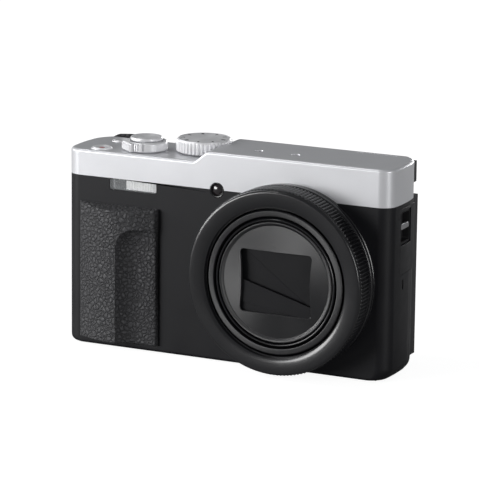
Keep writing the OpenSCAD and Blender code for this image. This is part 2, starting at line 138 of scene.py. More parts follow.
class BodySettings(bpy.types.PropertyGroup):
    """Sizes and colours of the shells."""

    edge_round: number("Edge round", "Radius of the deck's edges in mm", 0.9, 0.3, 1.5)
    seam_round: number("Seam round", "Radius along the seams in mm", 0.18, 0.05, 0.3)
    black: colour("Black", "Colour of the black shells", (0.0085, 0.0085, 0.0105))
    silver: colour("Silver", "Colour of the silver top", (0.74, 0.745, 0.77))
    grip: colour("Grip", "Colour of the grip pad", (0.05, 0.05, 0.054))
    grain: number("Grain", "Size of the grip's pebbles in mm", 1.4, 0.4, 2.0)


class LensSettings(bpy.types.PropertyGroup):
    """Sizes and colours of the lens."""

    ribs: IntProperty(name="Ribs", description="Ribs round the control ring", default=156, min=90, max=240)
    rib_depth: number("Rib depth", "Depth of the ribs in mm", 0.62, 0.1, 0.8)
    black: colour("Lens black", "Colour of the lens barrels", (0.009, 0.009, 0.0105))


class ControlSettings(bpy.types.PropertyGroup):
    """Sizes and colours of the controls."""

    dial_ribs: IntProperty(
        name="Dial ribs", description="Ribs round the mode dial", default=42, min=24, max=90
    )
    metal: colour("Control metal", "Colour of the silver controls", (0.86, 0.86, 0.88))


class StageSettings(bpy.types.PropertyGroup):
    """Light and view."""

    key: watts("Key", 13.5)
    rim: watts("Rim", 4.5)
    top: watts("Top", 0.9)
    fill: watts("Fill", 6.5)
    back: watts("Back", 6.0)
    sky: number("Sky", "Brightness of the surroundings", 0.15, 0, 3)


class CameraSettings(bpy.types.PropertyGroup):
    """All settings of the camera and its stage."""

    body: PointerProperty(type=BodySettings)
    lens: PointerProperty(type=LensSettings)
    controls: PointerProperty(type=ControlSettings)
    stage: PointerProperty(type=StageSettings)


def settings():
    return bpy.context.scene.pocket_camera


# ---------------------------------------------------------------- mesh tools


def box(lo, hi):
    """A closed box between two corners, in mm."""
    bm = bmesh.new()
    lo, hi = Vector(lo), Vector(hi)
    bmesh.ops.create_cube(bm, size=1.0)
    bmesh.ops.scale(bm, vec=hi - lo, verts=bm.verts)
    bmesh.ops.translate(bm, vec=(hi + lo) / 2, verts=bm.verts)
    return bm


def bevel(bm, geom, width, segments, affect="EDGES", clamp=True):
    """Rounds edges, or corners if affect says so, with an even arc."""
    bmesh.ops.bevel(
        bm, geom=geom, offset=width, offset_type="OFFSET", segments=segments,
        profile=0.5, affect=affect, material=-1, clamp_overlap=clamp,
    )


def slice_through(bm, point, way, clear=False):
    """Cuts a shape along a plane; clear drops what lies beyond it."""
    bmesh.ops.bisect_plane(
        bm, geom=bm.verts[:] + bm.edges[:] + bm.faces[:], plane_co=point, plane_no=way, clear_outer=clear
    )


def close_cuts(bm):
    """Fills every open rim."""
    bmesh.ops.holes_fill(bm, edges=[e for e in bm.edges if e.is_boundary], sides=0)


def close_back(bm, loop):
    """Fills the last loop of a shape and turns its faces outward."""
    bmesh.ops.contextual_create(bm, geom=loop)
    bmesh.ops.recalc_face_normals(bm, faces=bm.faces)


def bevel_all(bm, width, segments):
    """Rounds every edge sharper than 30 degrees."""
    bm.normal_update()
    sharp = [e for e in bm.edges if len(e.link_faces) == 2 and e.calc_face_angle(0) > math.radians(30)]
    bevel(bm, sharp, width, segments)
    return bm


def bevel_along(bm, axis, width, segments):
    """Rounds the straight edges that run along one axis."""
    chosen = []
    for e in bm.edges:
        way = (e.verts[1].co - e.verts[0].co).normalized()
        if abs(way[axis]) > 0.99:
            chosen.append(e)
    bevel(bm, chosen, width, segments)
    return bm


def stand(bm, centre, axis, along):
    """Turns an upright shape onto an axis and moves it there, at a place along that axis."""
    turns = (Matrix.Rotation(math.pi / 2, 4, "Y"), Matrix.Rotation(-math.pi / 2, 4, "X"), Matrix())
    bmesh.ops.transform(bm, matrix=turns[axis], verts=bm.verts)
    place = Vector(centre)
    place[axis] = along
    bmesh.ops.translate(bm, vec=place, verts=bm.verts)


def rod(centre, axis, radius, lo, hi, sides=64, radius_hi=None):
    """A closed cylinder or cone along an axis (0, 1 or 2) between lo and hi."""
    bm = bmesh.new()
    bmesh.ops.create_cone(
        bm, cap_ends=True, cap_tris=False, segments=sides, radius1=radius,
        radius2=radius if radius_hi is None else radius_hi, depth=hi - lo,
    )
    stand(bm, centre, axis, (lo + hi) / 2)
    return bm


def revolve(profile, centre, axis, steps, rounds=()):
    """Spins a closed profile of (radius, place along the axis) corners about an axis.

    Each of rounds is the number of a corner and the radius it gets.
    """
    bm = bmesh.new()
    verts = [bm.verts.new((r, 0.0, a)) for r, a in profile]
    bm.faces.new(verts)
    for corner, radius in rounds:
        bevel(bm, [verts[corner]], radius, 3, "VERTICES")
    bmesh.ops.delete(bm, geom=bm.faces[:], context="FACES_ONLY")
    bmesh.ops.spin(
        bm, geom=bm.verts[:] + bm.edges[:], cent=(0, 0, 0), axis=(0, 0, 1), dvec=(0, 0, 0),
        angle=math.tau, steps=steps, use_merge=True, use_duplicate=False,
    )
    bmesh.ops.remove_doubles(bm, verts=bm.verts, dist=0.0005)
    stand(bm, centre, axis, 0)
    bmesh.ops.recalc_face_normals(bm, faces=bm.faces)
    return bm


def rib(bm, centre, axis, count, depth, lo, hi, radius, narrow=1.0):
    """Presses ribs into a band of a spun shape, from lo to hi along the axis."""
    u, v = [i for i in range(3) if i != axis]
    for vert in bm.verts:
        x, y = vert.co[u] - centre[u], vert.co[v] - centre[v]
        r = math.hypot(x, y)
        if r < radius - 0.02 or not lo - 0.01 <= vert.co[axis] <= hi + 0.01:
            continue
        turn = math.atan2(y, x) * count
        drop = depth * (0.5 - 0.5 * math.cos(turn)) ** narrow
        vert.co[u] = centre[u] + x * (r - drop) / r
        vert.co[v] = centre[v] + y * (r - drop) / r
    return bm


def turn_onto(bm, angle, at):
    """Turns a shape about the upright axis, then moves it from the middle to a place on the deck."""
    bmesh.ops.transform(bm, matrix=Matrix.Rotation(angle, 4, "Z"), verts=bm.verts)
    bmesh.ops.translate(bm, vec=(at.x, at.y, 0), verts=bm.verts)


def extrude(bm, edges):
    """Extrudes a loop of edges in place; returns the new loop."""
    grown = bmesh.ops.extrude_edge_only(bm, edges=edges)["geom"]
    fresh = {g for g in grown if isinstance(g, bmesh.types.BMVert)}
    return [g for g in grown if isinstance(g, bmesh.types.BMEdge) and fresh.issuperset(g.verts)]


def join(*shapes):
    """One mesh that holds several closed shapes."""
    whole = bmesh.new()
    for bm in shapes:
        part = bpy.data.meshes.new("part")
        bm.to_mesh(part)
        bm.free()
        whole.from_mesh(part)
        bpy.data.meshes.remove(part)
    return whole


def to_object(name, bm):
    """Puts a shape in the scene as a new object."""
    mesh = bpy.data.meshes.new(name)
    bm.to_mesh(mesh)
    bm.free()
    obj = bpy.data.objects.new(name, mesh)
    bpy.context.scene.collection.objects.link(obj)
    return obj


def settle(obj):
    """Applies the modifiers of a piece to its mesh."""
    bpy.context.view_layer.update()
    done = obj.evaluated_get(bpy.context.evaluated_depsgraph_get())
    mesh = bpy.data.meshes.new_from_object(done)
    old = obj.data
    obj.modifiers.clear()
    obj.data = mesh
    bpy.data.meshes.remove(old)
    return obj


def carve(obj, *shapes, how="DIFFERENCE"):
    """Cuts closed shapes out of a piece, or adds or keeps them."""
    for bm in shapes:
        tool = to_object("tool", bm)
        cut = obj.modifiers.new("cut", "BOOLEAN")
        cut.operation, cut.solver, cut.object = how, "EXACT", tool
        settle(obj)
        mesh = tool.data
        bpy.data.objects.remove(tool)
        bpy.data.meshes.remove(mesh)
    return obj


def soften(obj, width, segments=2, angle=30):
    """Rounds the sharp edges that cutting left."""
    tidy = bmesh.new()
    tidy.from_mesh(obj.data)
    bmesh.ops.remove_doubles(tidy, verts=tidy.verts, dist=0.004)
    bmesh.ops.dissolve_degenerate(tidy, edges=tidy.edges, dist=0.004)
    tidy.to_mesh(obj.data)
    tidy.free()
    mod = obj.modifiers.new("round", "BEVEL")
    mod.width, mod.segments, mod.limit_method = width, segments, "ANGLE"
    mod.angle_limit = math.radians(angle)
    mod.use_clamp_overlap = True
    return settle(obj)


def piece(obj, body, replaced, finish, sharp=35):
    """Finishes a piece: metres, smooth shading, its material, its body and the frame node it stands for."""
    obj.data.transform(Matrix.Scale(MM, 4))
    for face in obj.data.polygons:
        face.use_smooth = True
    obj.data.set_sharp_from_angle(angle=math.radians(sharp))
    weigh = obj.modifiers.new("even shading", "WEIGHTED_NORMAL")
    weigh.keep_sharp = True
    obj.data.materials.clear()
    obj.data.materials.append(MATERIALS[finish])
    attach(obj, body)
    if replaced:
        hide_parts(replaced)
    return obj


def add(name, bm, body, replaced, finish, sharp=35):
    """A finished piece made straight from a shape."""
    return piece(to_object(name, bm), body, replaced, finish, sharp)


# ---------------------------------------------------------------- materials


def fill(node, **inputs):
    """Sets constant inputs of a node; a _ stands for each space in a socket's name."""
    for socket, value in inputs.items():
        node.inputs[socket.replace("_", " ")].default_value = value
    return node


class Finish:
    """A principled material in the making."""

    def __init__(self, name, base, roughness, metallic=0.0, specular=0.5, **sockets):
        self.material = bpy.data.materials.new(name)
        self.material.use_nodes = True
        self.tree = self.material.node_tree
        self.shader = self.tree.nodes["Principled BSDF"]
        fill(self.shader, Base_Color=(*base, 1), Roughness=roughness, Metallic=metallic)
        fill(self.shader, Specular_IOR_Level=specular, **sockets)

    def node(self, kind, **inputs):
        """A new node with its constant inputs."""
        return fill(self.tree.nodes.new("ShaderNode" + kind), **inputs)

    def link(self, value, node, socket):
        """Leads a value into a node."""
        self.tree.links.new(value, node.inputs[socket])

    def feed(self, value, socket):
        """Leads a value into the shader."""
        self.link(value, self.shader, socket)

    def maths(self, kind, operation, value, second=None):
        """A maths node fed by a value, with a constant second input if one is given."""
        node = self.node(kind)
        node.operation = operation
        self.link(value, node, 0)
        if second is not None:
            node.inputs[1].default_value = second
        return node

    def coords(self, centre=(0, 0, 0)):
        """Object coordinates in metres, moved so that centre is the zero point."""
        mapping = self.node("Mapping", Location=[-c for c in centre])
        self.link(self.node("TexCoord").outputs["Object"], mapping, "Vector")
        return mapping.outputs["Vector"]

    def speckle(self, vector, scale, detail=3.0):
        """Soft noise; scale is in spots per metre."""
        tex = self.node("TexNoise", Scale=scale, Detail=detail, Roughness=0.6)
        self.link(vector, tex, "Vector")
        return tex.outputs["Fac"]

    def ramp(self, value, *stops):
        """A colour ramp with (place, grey or colour) stops."""
        node = self.node("ValToRGB")
        points = node.color_ramp.elements
        while len(points) < len(stops):
            points.new(0.5)
        for point, (place, tone) in zip(points, stops):
            point.position = place
            point.color = (tone, tone, tone, 1) if isinstance(tone, float) else (*tone, 1)
        self.link(value, node, "Fac")
        return node.outputs["Color"]

    def bump(self, height, distance, strength=1.0, under=None):
        """A bump of the given depth in metres, on top of the one under it."""
        node = self.node("Bump", Strength=strength, Distance=distance)
        self.link(height, node, "Height")
        if under is not None:
            self.link(under, node, "Normal")
        return node.outputs["Normal"]


def satin(name, base, roughness, metallic=0.0, specular=0.4, grain=2600, depth=6e-6, vary=0.06, **sockets):
    """A fine-grained coat: tiny orange peel, and roughness and tone that drift a little."""
    coat = Finish(name, base, roughness, metallic, specular, **sockets)
    where = coat.coords()
    coat.feed(coat.bump(coat.speckle(where, grain), depth), "Normal")
    drift = coat.speckle(where, 90.0, 2.0)
    coat.feed(coat.ramp(drift, (0.3, roughness - vary), (0.7, roughness + vary)), "Roughness")
    dark = tuple(c * (1 - vary) for c in base)
    light = tuple(min(1.0, c * (1 + vary)) for c in base)
    coat.feed(coat.ramp(drift, (0.3, dark), (0.7, light)), "Base Color")
    return coat.material


def leather(name, base, cell_mm):
    """Moulded rubber with a pebbled, creased leather grain, with painted shade in the creases and a painted
    highlight on the pebble crowns.
    """
    rubber = Finish(name, base, 0.55, 0.0, 0.42)
    where = rubber.coords()
    warp = rubber.node("TexNoise", Scale=700.0, Detail=3.0)
    rubber.link(where, warp, "Vector")
    shift = rubber.maths("VectorMath", "MULTIPLY_ADD", warp.outputs["Color"], (0.0009, 0.0009, 0.0009))
    rubber.link(where, shift, 2)
    cells = rubber.node("TexVoronoi", Scale=1000.0 / cell_mm)
    cells.feature = "DISTANCE_TO_EDGE"
    rubber.link(shift.outputs["Vector"], cells, "Vector")
    edge = cells.outputs["Distance"]
    pebble = rubber.ramp(edge, (0.0, 0.0), (0.22, 0.85), (0.5, 1.0))
    pores = rubber.speckle(where, 5200.0)
    rubber.feed(rubber.bump(pores, 0.00002, 0.6, rubber.bump(pebble, 0.0003)), "Normal")
    # Painted shade and highlight: the creases are darkened in the colour, and the pebble crowns are
    # lightened in it.
    painted_crease_shade, crown = tuple(c * 0.55 for c in base), tuple(c * 1.2 for c in base)
    rubber.feed(rubber.ramp(edge, (0.0, painted_crease_shade), (0.25, base), (0.6, crown)), "Base Color")
    rubber.feed(rubber.ramp(edge, (0.0, 0.7), (0.3, 0.5)), "Roughness")
    return rubber.material


def spun(name, base, roughness, centre, axis=2, streak=0.7, metallic=0.35, specular=0.5, swing=0.0):
    """Turned metal: fine rings round an axis and a glint that fans out from its middle."""
    metal = Finish(
        name, base, roughness, metallic, specular, Anisotropic=streak, Anisotropic_Rotation=swing
    )
    where = metal.coords([c * MM for c in centre])
    across = Vector((1, 1, 1))
    across[axis] = 0
    flat = metal.maths("VectorMath", "MULTIPLY", where, across).outputs["Vector"]
    world = metal.node("VectorTransform")
    world.vector_type, world.convert_from, world.convert_to = "VECTOR", "OBJECT", "WORLD"
    metal.link(flat, world, "Vector")
    metal.feed(world.outputs["Vector"], "Tangent")
    distance = metal.maths("VectorMath", "LENGTH", flat)
    rings = metal.maths("Math", "MULTIPLY", distance.outputs["Value"], math.tau * 1000.0 / TURNING_PITCH)
    wave = metal.maths("Math", "SINE", rings.outputs["Value"])
    metal.feed(metal.bump(wave.outputs["Value"], 0.0000025), "Normal")
    tone = metal.speckle(where, 350.0)
    metal.feed(metal.ramp(tone, (0.3, tuple(c * 0.9 for c in base)), (0.7, base)), "Base Color")
    return metal.material


def clear(name, tint, roughness):
    """Clear moulded or ground glass."""
    glass = Finish(name, tint, roughness, 0.0, 0.5, Transmission_Weight=1.0, IOR=1.5)
    haze = glass.speckle(glass.coords(), 400.0)
    glass.feed(glass.ramp(haze, (0.4, roughness), (0.8, roughness + 0.03)), "Roughness")
    return glass.material


def coated_lens(name):
    """A dark coated front element with violet and green reflections."""
    glass = Finish(
        name, (0.01, 0.012, 0.02), 0.03, 0.0, 0.8, Coat_Weight=1.0, Coat_Roughness=0.02,
        Coat_Tint=(0.55, 0.5, 0.95, 1),
    )
    tone = glass.speckle(glass.coords((LENS_X * MM, 0, LENS_Z * MM)), 60.0)
    glass.feed(glass.ramp(tone, (0.3, (0.012, 0.006, 0.02)), (0.7, (0.004, 0.014, 0.016))), "Base Color")
    return glass.material


def circuit(name):
    """Solder mask with fine tracks."""
    mask = Finish(name, (0.02, 0.12, 0.05), 0.35)
    tracks = mask.node(
        "TexBrick", Scale=160.0, Mortar_Size=0.03, Color1=(0.012, 0.10, 0.04, 1),
        Color2=(0.02, 0.13, 0.055, 1), Mortar=(0.06, 0.22, 0.10, 1),
    )
    mask.link(mask.coords(), tracks, "Vector")
    mask.feed(tracks.outputs["Color"], "Base Color")
    return mask.material


MATERIALS = {}


def make_materials():
    """Every finish that the pieces share."""
    body, lens = settings().body, settings().lens
    shell, silver, grip, barrel = map(tuple, (body.black, body.silver, body.grip, lens.black))
    metal = tuple(settings().controls.metal)
    top = (0.95, 0.95, 0.97)
    coats = {
        "black": ("satin_black_coat", shell, 0.46, 0.0, 0.28),
        "black_base": ("base_black_coat", shell, 0.52, 0.0, 0.3, 1400, 1e-5),
        "silver": ("satin_silver_coat", silver, 0.36, 0.4, 0.5, 5200, 2e-6, 0.012),
        "ring": ("ring_anodised_black", barrel, 0.24, 0.0, 0.7, 4200, 3e-6, 0.02),
        "barrel": ("barrel_matt_black", barrel, 0.25, 0.0, 0.45, 3600, 4e-6, 0.02),
        "lug": ("lug_bright_metal", (0.72, 0.72, 0.74), 0.2, 1.0, 0.5, 900, 2e-6),
        "diffuser": ("flash_diffuser_white", (1.0, 1.0, 1.0), 0.3, 0.0, 0.5, 2600, 6e-6, 0.02),
        "blade": ("blade_black_coat", (0.007, 0.007, 0.0085), 0.45, 0.0, 0.22),
        "metal": ("control_satin_metal", metal, 0.34, 0.2, 0.5, 5200, 2e-6, 0.015),
        "steel": ("plain_steel", (0.5, 0.51, 0.53), 0.34, 1.0, 0.5, 1800),
        "reflector": ("flash_reflector_bright", (0.9, 0.91, 0.93), 0.22, 0.85, 0.5, 700, 3e-5),
        "red": ("record_red", (0.55, 0.02, 0.02), 0.35, 0.1, 0.5),
        "inner": ("inner_dull_black", (0.012, 0.012, 0.013), 0.65, 0.0, 0.2),
        "plastic": ("control_black_plastic", (0.018, 0.018, 0.02), 0.42, 0.0, 0.45, 1500, 1e-5),
        "sleeve": ("battery_sleeve_grey", (0.05, 0.05, 0.055), 0.5),
        "ink": ("mark_white_ink", (0.75, 0.76, 0.78), 0.5, 0.0, 0.3),
        "dark_ink": ("mark_dark_ink", (0.03, 0.03, 0.035), 0.5, 0.0, 0.3),
        "cap_blue": ("capacitor_sleeve_blue", (0.03, 0.05, 0.12), 0.4),
    }
    for finish, row in coats.items():
        MATERIALS[finish] = satin(*row)
    MATERIALS["glass"] = satin(
        "flash_window_clear", (0.9, 0.93, 0.95), 0.05, 0.0, 0.6, 500, vary=0.02, Alpha=0.12
    )
    MATERIALS["lamp"] = satin(
        "lamp_smoked_lens", (0.02, 0.016, 0.018), 0.09, 0.0, 0.6, 700, 1e-6, 0.03, Coat_Weight=0.6
    )
    MATERIALS["screen"] = satin(
        "screen_gloss_black", (0.004, 0.004, 0.005), 0.07, 0.0, 0.6, 300, 1e-6, 0.02, Coat_Weight=0.5
    )
    turned = {
        "plate": ("front_plate_satin_black", barrel, 0.42, LENS_AT, 1, 0.8, 0.0, 0.8, 0.25),
        "barrel_face": ("barrel_turned_black", barrel, 0.4, LENS_AT, 1, 0.7, 0.0, 0.8, 0.25),
        "dial_top": ("dial_spun_top", (0.93, 0.93, 0.95), 0.44, (DIAL.x, DIAL.y, 0)),
        "shutter_top": ("shutter_spun_top", top, 0.42, (SHUTTER.x, SHUTTER.y, 0)),
        "record_top": ("record_spun_top", top, 0.4, (RECORD.x, RECORD.y, 0)),
        "power_top": ("power_spun_top", top, 0.4, (POWER.x, POWER.y, 0)),
    }
    for finish, row in turned.items():
        MATERIALS[finish] = spun(*row)
    MATERIALS["grip"] = leather("grip_leather_grain", grip, body.grain)
    MATERIALS["thumb"] = leather("thumb_leather_grain", grip, body.grain)
    MATERIALS["eye_glass"] = clear("eyepiece_glass", (0.75, 0.8, 0.85), 0.02)
    MATERIALS["front_glass"] = coated_lens("front_lens_coated")
    MATERIALS["board"] = circuit("board_solder_mask")


# ---------------------------------------------------------------- body


def plan_loop(bm, shrink, z):
    """The body's outline seen from above as one loop of edges: rounded corners and gently bowed sides."""
    x, y0, y1 = HALF_W - shrink, FRONT_Y + shrink, REAR_Y - shrink
    verts = [bm.verts.new(p) for p in ((-x, y0, z), (x, y0, z), (x, y1, z), (-x, y1, z))]
    bm.faces.new(verts)
    for pair, radius in ((verts[:2], FRONT_CORNER), (verts[2:], REAR_CORNER)):
        bevel(bm, pair, radius - shrink, 12, "VERTICES", clamp=False)
    bmesh.ops.delete(bm, geom=bm.faces[:], context="FACES_ONLY")
    long = [e for e in bm.edges if e.calc_length() > 6]
    sides = [e for e in long if all(abs(abs(v.co.x) - x) < 0.01 for v in e.verts)]
    bmesh.ops.subdivide_edges(bm, edges=sides, cuts=5)
    for v in bm.verts:
        v.co.x -= math.copysign((v.co.y - 0.5) ** 2 / SIDE_BOW, v.co.x)
    return bm.edges[:]


def body_levels(z_lo, z_hi, top_round, bottom_round):
    """Heights with their insets: (z, left side, right side, front and rear)."""
    levels = []
    if bottom_round:
        for z in (0.0, 0.08, 0.25, 0.5, 0.8, 1.2, 1.6, 2.0, 2.6, 3.3, 4.0):
            left, right, depth = [
                r - math.sqrt(r * r - (r - z) ** 2) if 0 < z < r else r * (z == 0) for r in (2.0, 4.0, 0.8)
            ]
            levels.append((z, left, right, depth))
    else:
        levels.append((z_lo, 0.0, 0.0, 0.0))
    if top_round:
        for turn in range(0, 91, 15):
            rise, inset = math.sin(math.radians(turn)), 1 - math.cos(math.radians(turn))
            inset *= top_round
            levels.append((z_hi - top_round * (1 - rise), inset, inset, inset))
    else:
        levels.append((z_hi, 0.0, 0.0, 0.0))
    return levels


def step_rise(x):
    """How far the deck stands above the low deck at x, with soft corners."""
    total = 0.0
    for i in range(-4, 5):
        part = (x + i * 0.22 - STEP_X[0]) / (STEP_X[1] - STEP_X[0])
        total += min(1.0, max(0.0, part))
    return (DECK_HIGH - DECK_LOW) * total / 9


def body_block(shrink, z_lo, z_hi, top_round=0.0, bottom_round=False, step=True):
    """A closed block with the body's outline between two heights."""
    bm = bmesh.new()
    loop = plan_loop(bm, shrink, 0.0)
    levels = body_levels(z_lo, z_hi, top_round, bottom_round)
    last = (0.0, 0.0, 0.0, 0.0)
    first_loop = loop
    for i, level in enumerate(levels):
        if i:
            loop = extrude(bm, loop)
        for v in {v for e in loop for v in e.verts}:
            v.co.x -= level[2] - last[2] if v.co.x > 0 else last[1] - level[1]
            v.co.y -= (level[3] - last[3]) * math.copysign(1.0, v.co.y - MID_Y - 0.01)
            v.co.z += level[0] - last[0]
        last = level
    bmesh.ops.contextual_create(bm, geom=first_loop)
    bmesh.ops.contextual_create(bm, geom=loop)
    if step:
        x = STEP_X[0] - 1.0
        while x < STEP_X[1] + 1.05:
            slice_through(bm, (x, 0, 0), (1, 0, 0))
            x += 0.35
        for v in bm.verts:
            if v.co.z > z_hi - top_round - 0.5:
                v.co.z += step_rise(v.co.x)
    bmesh.ops.recalc_face_normals(bm, faces=bm.faces)
    return bm


def lens_bore():
    """The bore through the front that the lens flange fills."""
    return rod(LENS_AT, 1, LENS_BORE, FRONT_Y - 4, -2, 128)


def dial_well():
    """The shallow round space that the mode dial turns in."""
    return rod(DIAL, 2, DIAL_WELL, DECK_LOW + 0.12, 80, 96)


def lamp_bore():
    """The bore of the autofocus lamp."""
    return rod(node_centre("af_lamp"), 1, 2.45, FRONT_Y - 1, FRONT_Y + 5, 48)


def lug_pocket(side):
    """The pocket of a strap lug, on the right (1) or the left (-1)."""
    lo, hi = (HALF_W - 4, HALF_W + 1) if side > 0 else (-HALF_W - 1, -HALF_W + 4)
    return bevel_along(box((lo, -1.0, 41.6), (hi, 7.4, 52.2)), 0, 1.2, 5)


def node_space(node, gap, lo_x, hi_x):
    """A block round a frame node with a gap on four sides, from one x to another."""
    lo, hi = node_box(node)
    return box((lo_x, lo.y - gap, lo.z - gap), (hi_x, hi.y + gap, hi.z + gap))


def side_panel_cut():
    """The space that the side plate fills."""
    return bevel_along(node_space("side_plate", 0.05, HALF_W - 0.9, HALF_W + 2), 0, 1.0, 4)


def top_cover():
    """Silver top: front band, sides, low and high deck with the step between."""
    obj = to_object("top_shell", body_block(0.0, BAND_Z, DECK_LOW, settings().body.edge_round))
    carve(obj, body_block(1.4, 50.0, DECK_LOW - 1.4))
    carve(obj, box((-FAR, TOP_REAR_Y, 40), (FAR, 40, 80)))
    carve(obj, dial_well())
    carve(
        obj,
        rod(DIAL, 2, 3.2, 55, 80, 32),
        rod(SHUTTER, 2, 3.6, 55, 80, 32),
        rod(RECORD, 2, 3.3, 55, 80, 48),
        rod(POWER, 2, 2.9, 55, 80, 48),
        lens_bore(),
        lamp_bore(),
    )
    dimples = [rod((x, -0.2, 0), 2, 1.15, DECK_HIGH - 0.95, DECK_HIGH + 0.01, 40, 1.4) for x in MICROPHONES]
    carve(obj, join(*dimples))
    holes = [rod((x, -0.2, 0), 2, 0.4, 64, 80, 20) for x in MICROPHONES]
    for i in range(5):
        x = SPEAKER_X + SLOT_PITCH * i
        holes.append(bevel_along(box((x, 12.3, 60), (x + SLOT_WIDTH, 13.0, 80)), 2, 0.3, 3))
    carve(obj, join(*holes))
    soften(obj, settings().body.seam_round)
    return piece(obj, "root", "top_cover", "silver")


def front_cover():
    """Black front shell with its lens bore, flash and lamp openings."""
    obj = to_object("front_shell", body_block(0.0, 0.0, BAND_Z, bottom_round=True, step=False))
    carve(obj, body_block(WALL, WALL, 70.0, step=False))
    carve(obj, box((-FAR, SEAM_Y, -5), (FAR, 40, 80)))
    lo, hi = node_box("flash_window")
    window = box((lo.x - 0.1, FRONT_Y - 2, lo.z - 0.1), (hi.x + 0.1, FRONT_Y + 4, hi.z + 0.1))
    window = bevel_along(window, 1, 0.7, 4)
    carve(obj, lens_bore(), window, lamp_bore(), lug_pocket(1), lug_pocket(-1), side_panel_cut())
    slot = bevel_along(box((HALF_W - 0.7, SEAM_Y - 2.4, 27.6), (HALF_W + 1, SEAM_Y - 1.5, 30.8)), 0, 0.4, 4)
    carve(obj, base_opening(0.0), slot)
    soften(obj, settings().body.seam_round)
    return piece(obj, "root", "front_cover", "black")


def base_opening(shrink):
    """The space of the base plate."""
    bm = body_block(WALL + shrink, -1.0, WALL + 0.01 - shrink, step=False)
    for side in (1, -1):
        slice_through(bm, (side * (HALF_W - 4.6 - shrink), 0, 0), (side, 0, 0), clear=True)
    close_cuts(bm)
    bmesh.ops.recalc_face_normals(bm, faces=bm.faces)
    return bm


def rear_cover():
    """Black rear shell with the monitor recess, finder opening and button holes."""
    shell = body_block(0.0, 0.0, DECK_LOW, settings().body.edge_round, True)
    slice_through(shell, (0, TOP_REAR_Y, 0), (0, 1, 0))
    for v in shell.verts:
        if v.co.z > DECK_LOW - 1.2 and v.co.y > TOP_REAR_Y:
            v.co.z -= 0.27 * (v.co.y - TOP_REAR_Y)
    obj = to_object("rear_shell", shell)
    carve(obj, body_block(WALL, WALL, DECK_LOW - WALL))
    carve(obj, box((-FAR, -40, -5), (FAR, SEAM_Y, 80)))
    carve(obj, box((-FAR, -40, BAND_Z), (FAR, TOP_REAR_Y, 80)))
    hinge = node_box("hinge_pins")[1].z
    backing = body_block(0.6, 1.6, hinge + 2.4, step=False)
    for point, way in (((0, 11.9, 0), (0, -1, 0)), ((-22, 0, 0), (-1, 0, 0))):
        slice_through(backing, point, way, clear=True)
        close_cuts(backing)
    bmesh.ops.recalc_face_normals(backing, faces=backing.faces)
    carve(obj, backing, how="UNION")
    carve(obj, box((40, 0, BAND_Z), (FAR, TOP_REAR_Y, 80)))
    recess = box((MONITOR_LO.x - 0.4, 13.4, MONITOR_LO.z - 0.5), (MONITOR_HI.x + 0.4, 30, hinge + 0.8))
    carve(obj, recess)
    eye_lo, eye_hi = node_box("eyepiece_frame")
    carve(
        obj,
        box((eye_lo.x + 0.4, REAR_Y - 3.4, eye_lo.z + 0.2), (eye_hi.x + 0.2, REAR_Y + 1, eye_hi.z - 0.2)),
        box((21.8, REAR_Y - 3, 57.8), (27.4, REAR_Y + 1, 63.6)),
    )
    finder = node_centre("eyepiece_lens")
    carve(obj, rod(finder, 1, 4.6, 8, REAR_Y + 1, 48))
    for name in ("play_button", "menu_button", "delete_button", "display_button"):
        carve(obj, rod(node_centre(name), 1, 2.8, 10, 30, 48))
    carve(obj, rod(WHEEL, 1, 10.0, 10, 30, 96))
    carve(obj, lug_pocket(1), lug_pocket(-1), side_panel_cut(), base_opening(0.0))
    carve(obj, node_space("terminal_door", 0.25, -HALF_W - 2, -HALF_W + 2.4))
    carve(obj, dial_well())
    for x in (-3.6, 32.4):
        carve(obj, box((x, 13.3, 37.85), (x + 3.2, 14.9, 40.15)), how="UNION")
        carve(obj, rod(ARM_PIVOT, 0, 1.15, x, x + 3.2, 32), how="UNION")
        carve(obj, rod(ARM_PIVOT, 0, 0.66, x - 1, x + 5, 24))
    soften(obj, settings().body.seam_round)
    return piece(obj, "root", "rear_cover", "black")


def base_cover():
    """Base plate with the door opening, the tripod bush hole and countersunk screw holes."""
    obj = to_object("base_plate", base_opening(0.06))
    carve(obj, box((-FAR, -40, -5), (FAR, 40, 0.0)))
    lo, hi = node_box("battery_door")
    carve(obj, box((-48.15, lo.y + 1.0, -2), (hi.x + 0.25, hi.y - 1.0, 4)))
    bush = node_centre("tripod_socket")
    carve(obj, rod(bush, 2, 5.6, -1, 3, 64))
    for x, y in ((-49.8, -5.0), (-49.8, 9.6), (5.2, -5.2), (47, -5.0), (47, 6.0)):
        carve(obj, rod((x, y, 0), 2, 1.3, -1, 0.8, 32, 1.1))
    soften(obj, 0.1)
    return piece(obj, "root", "base_cover", "black_base")


def scoop_depth(x, z):
    """How far a point lies inside the finger scoop, in mm; the scoop has one rounded upper corner."""
    side, under = x - GRIP_RIDGE[0], GRIP_RIDGE[1] - z
    if side < GRIP_ARCH and under < GRIP_ARCH:
        return GRIP_ARCH - math.hypot(GRIP_ARCH - side, GRIP_ARCH - under)
    return min(side, under)


def grip_height(x, z):
    """How far the grip stands out: a ridge swelling from the left, and a brow over a finger scoop."""
    if x < GRIP_RIDGE[0]:
        out = 1.0 + 4.8 * math.sin(math.pi / 2 * (x + 50.5) / 15.3)
    else:
        fall = min(1.0, max(0.0, (x + 31.5) / 8.5))
        out = 5.8 - 0.1 * (x - GRIP_RIDGE[0]) - 2.2 * fall * fall * (3 - 2 * fall)
    inside = scoop_depth(x, z)
    if inside > 0:
        part = max(0.0, 1 - inside / 6.0)
        keep = 1 - math.sqrt(1 - part * part)
        out = 1.7 + (out - 1.7) * keep
    brow = 46.35 - z
    round_off = 0.7 + 5.0 * brow if brow < 1.0 else 9.0
    return max(0.5, min(out, round_off))


